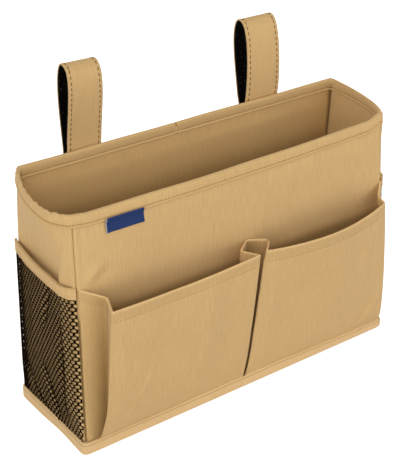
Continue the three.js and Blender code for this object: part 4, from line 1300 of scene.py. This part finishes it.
# Rows run from the root up the front, over the crown and down the rear to the tail, columns across. Front
# and rear are cubic curves that meet at the crown, and the two sides of the strap have their own rise.
def strapSurface(values, across):
    shared = strapShared
    rise, lean = mix(*values["rise"], across), mix(*values["lean"], across)

    def pair(y, z):  # one control point of the strap's side view, with a value for each column
        return np.stack([y + 0 * across, z + 0 * across], axis=-1)

    face, thick, gap = shared["hemFace"], shared["thickness"], shared["layerGap"]
    shoulder, crown = pair(face, shared["shoulder"]), pair(lean, rise)
    throat = pair(values["throat"], -shared["throatDrop"])
    rearY = lean + values["rearReach"]
    bulge = mix(values["throat"], rearY, shared["rearBulge"])
    frontHandles = pair(face, rise * shared["frontHandle"]), pair(lean - values["frontReach"], rise)
    rearHandles = pair(rearY, rise), pair(bulge, rise * shared["rearHandle"])
    front = bezier([shoulder, *frontHandles, crown], shared["steps"])
    rear = bezier([crown, *rearHandles, throat], shared["steps"])
    tailY = gap + shared["patchThickness"] + gap + shared["tapeThickness"] + gap + thick
    rootY = shared["rootGap"] + thick
    root = [pair(rootY, -shared["root"]), pair(rootY, shared["rootTop"])]
    root += [pair(face + thick, shared["hemFoot"]), shoulder]
    tail = [throat, pair(tailY, -shared["patchTop"]), pair(tailY, -shared["patchTop"] - shared["patchHeight"])]
    parts = straightRuns(root, shared["rootCounts"])
    parts += [front[:-1], rear[:-1]] + straightRuns(tail, shared["tailCounts"]) + [tail[-1][None]]
    line = np.concatenate(parts)
    line = np.swapaxes(soften(np.swapaxes(line, 0, 1), shared["passes"]), 0, 1)
    apex = sum(shared["rootCounts"]) + shared["steps"] - 1
    high = np.clip(line[..., 1] / rise.max(), 0, 1)
    x = values["x"] + mix(-0.5, 0.5, across)[None] * shared["width"] + values["sway"] * (1 - high)
    points = grid(x, body["backFace"] + line[..., 0], body["height"] + line[..., 1])
    run = np.gradient(points, axis=0)
    out = unit(np.stack([0 * run[..., 0], -run[..., 2], run[..., 1]], axis=-1))
    return points, out, apex


# The front run stays on the back wall, the rear run swings with the flap, and the crown is baked in place
# between them. Each run has its cloth, its tape on the inside and two rows of stitches.
def addStrap(name, values):
    shared = strapShared
    label = name.capitalize()
    across = np.linspace(0, 1, shared["columns"])
    points, out, apex = strapSurface(values, across)
    middle = shared["columns"] // 2
    reach = lengthAlong(points[:, middle])
    first, last = (nearest(reach, reach[apex] + sign * shared["crownReach"]) for sign in (-1, 1))
    spans = dict(Front=slice(0, first + 1), Crown=slice(first, last + 1), Rear=slice(last, None))
    flap = f"strap_{name}_flap"
    nodes = dict(
        Front=(f"strap_{name}", f"strap_tape_{name}"), Rear=(f"strap_flap_{name}", f"flap_tape_{name}"))

    def hang(piece, span, slot, layer=None):  # crown pieces keep their baked place, and the others ride on their run's body
        if span == "Crown":
            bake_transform(piece)
        else:
            replaced = [] if layer is None else [nodes[span][layer]]
            place(piece, "back" if span == "Front" else flap, slot, *replaced)

    tapeReach = 0.5 - shared["tapeInset"] / shared["width"]
    tapeAcross = np.linspace(0.5 - tapeReach, 0.5 + tapeReach, shared["columns"])
    tapePoints, tapeOut, _ = strapSurface(values, tapeAcross)
    tapePoints = tapePoints - tapeOut * (shared["thickness"] + shared["tapeGap"])
    tapeStart = nearest(points[:first, middle, 2], body["height"] + shared["tapeFrom"])
    stitchedAt = shared["edgeStitch"] / shared["width"]
    for span, rows in spans.items():
        cloth = points[rows]
        inside = cloth.mean(axis=(0, 1)) - out[rows].mean(axis=(0, 1)) * 300
        piece = makeSheet(f"strap{label}{span}", cloth, tan, inside, shared["thickness"])
        hang(piece, span, "cloth", 0)
        tape = tapePoints[slice(tapeStart, rows.stop) if span == "Front" else rows]
        piece = makeSheet(f"tape{label}{span}", tape, hookAndLoop, inside, shared["tapeThickness"])
        hang(piece, span, "hook_and_loop", 1)
        for edge, share in dict(Inner=stitchedAt, Outer=1 - stitchedAt).items():
            column = int(round(share * (shared["columns"] - 1)))
            line, lineOut = points[rows][:, column], out[rows][:, column]
            title = f"strapStitches{label}{span}{edge}"
            hang(stitchRow(title, line, lineOut, shared["stitches"], darkThread), span, "cloth")
    node = f"hook_patch_{name}"
    low, high = nodeBox(node)
    x = np.linspace(-0.5, 0.5, 40)[None] * shared["patchWidth"] + values["x"] + values["sway"]
    z = np.linspace(low[2], high[2], 40)[:, None]
    y = high[1] + shared["patchWave"] * softNoise(x, z, shared["patchNoise"], 61) + 0 * x
    patch = makeSheet(f"hookPatch{label}", grid(x, y, z), hookAndLoop, (0, 0, 100), shared["patchSheet"])
    place(patch, "back", "hook_and_loop", node)


for name, values in straps.items():
    addStrap(name, values)
print("straps made")


# Floor, world and lamps

light = dict(
    world=0.28, worldColor=(1.0, 0.97, 0.93, 1), floorColor=(0.8, 0.8, 0.8), floorGlow=0.72, floorReach=6.0,
    grain=30.0, roughSpread=0.05, roughLeast=0.9, lampSize=1.8, aim=(0, 0, 0.11),
    lamps=dict(  # power in watts and place of each
        key=(25.0, (1.7, -2.0, 0.55)), fill=(30.0, (-2.4, -1.2, 0.55)),
        overLeft=(31.0, (-1.8, -1.4, 2.2)), overRight=(18.0, (1.4, -1.2, 2.4)), behind=(34.0, (0.4, 2.6, 0.8)),
    ),
)


def seenByCamera(tree):  # 1 for camera, mirror and glass rays
    rays = tree.nodes.new("ShaderNodeLightPath")
    either = calculate(tree, "MAXIMUM", rays.outputs["Is Camera Ray"], rays.outputs["Is Glossy Ray"])
    return calculate(tree, "MAXIMUM", either, rays.outputs["Is Transmission Ray"])


def addStage(values):  # a floor and a room that look white themselves but light the part less
    finish, tree, shader = newMaterial("paleFloor")
    grain = addNoise(tree, values["grain"], 2.0)
    rough = calculate(tree, "MULTIPLY_ADD", grain, values["roughSpread"], values["roughLeast"])
    tree.links.new(rough, shader.inputs["Roughness"])
    shader.inputs["Base Color"].default_value = (*values["floorColor"], 1)
    shader.inputs["Specular IOR Level"].default_value = 0.0
    shader.inputs["Emission Color"].default_value = (1, 1, 1, 1)
    glow = calculate(tree, "MULTIPLY", seenByCamera(tree), values["floorGlow"])
    tree.links.new(glow, shader.inputs["Emission Strength"])
    corners = np.array([(-1, -1, 0), (1, -1, 0), (1, 1, 0), (-1, 1, 0)]) * values["floorReach"]
    sheet = bpy.data.meshes.new("floor")
    sheet.from_pydata(corners.tolist(), [], [(0, 1, 2, 3)])
    sheet.materials.append(finish)
    floor = bpy.data.objects.new("floor", sheet)
    bpy.context.scene.collection.objects.link(floor)
    world = bpy.data.worlds.new("paleRoom")
    world.use_nodes = True
    tree = world.node_tree
    tree.nodes.clear()
    room = addNode(tree, "ShaderNodeBackground", {"Color": values["worldColor"], "Strength": values["world"]})
    seen = addNode(tree, "ShaderNodeBackground", {"Color": (1, 1, 1, 1), "Strength": 1.0})
    shaders = {0: seenByCamera(tree), 1: room.outputs[0], 2: seen.outputs[0]}
    both = addNode(tree, "ShaderNodeMixShader", shaders)
    output = tree.nodes.new("ShaderNodeOutputWorld")
    tree.links.new(both.outputs[0], output.inputs["Surface"])
    bpy.context.scene.world = world
    for name, (power, spot) in values["lamps"].items():
        data = bpy.data.lights.new(name, "AREA")
        data.energy = power
        data.size = values["lampSize"]
        lamp = bpy.data.objects.new(name, data)
        lamp.location = spot
        aim = Vector(values["aim"]) - lamp.location
        lamp.rotation_euler = aim.to_track_quat("-Z", "Y").to_euler()
        bpy.context.scene.collection.objects.link(lamp)


addStage(light)
bpy.context.scene.view_settings.view_transform = "Standard"
print("stage set")
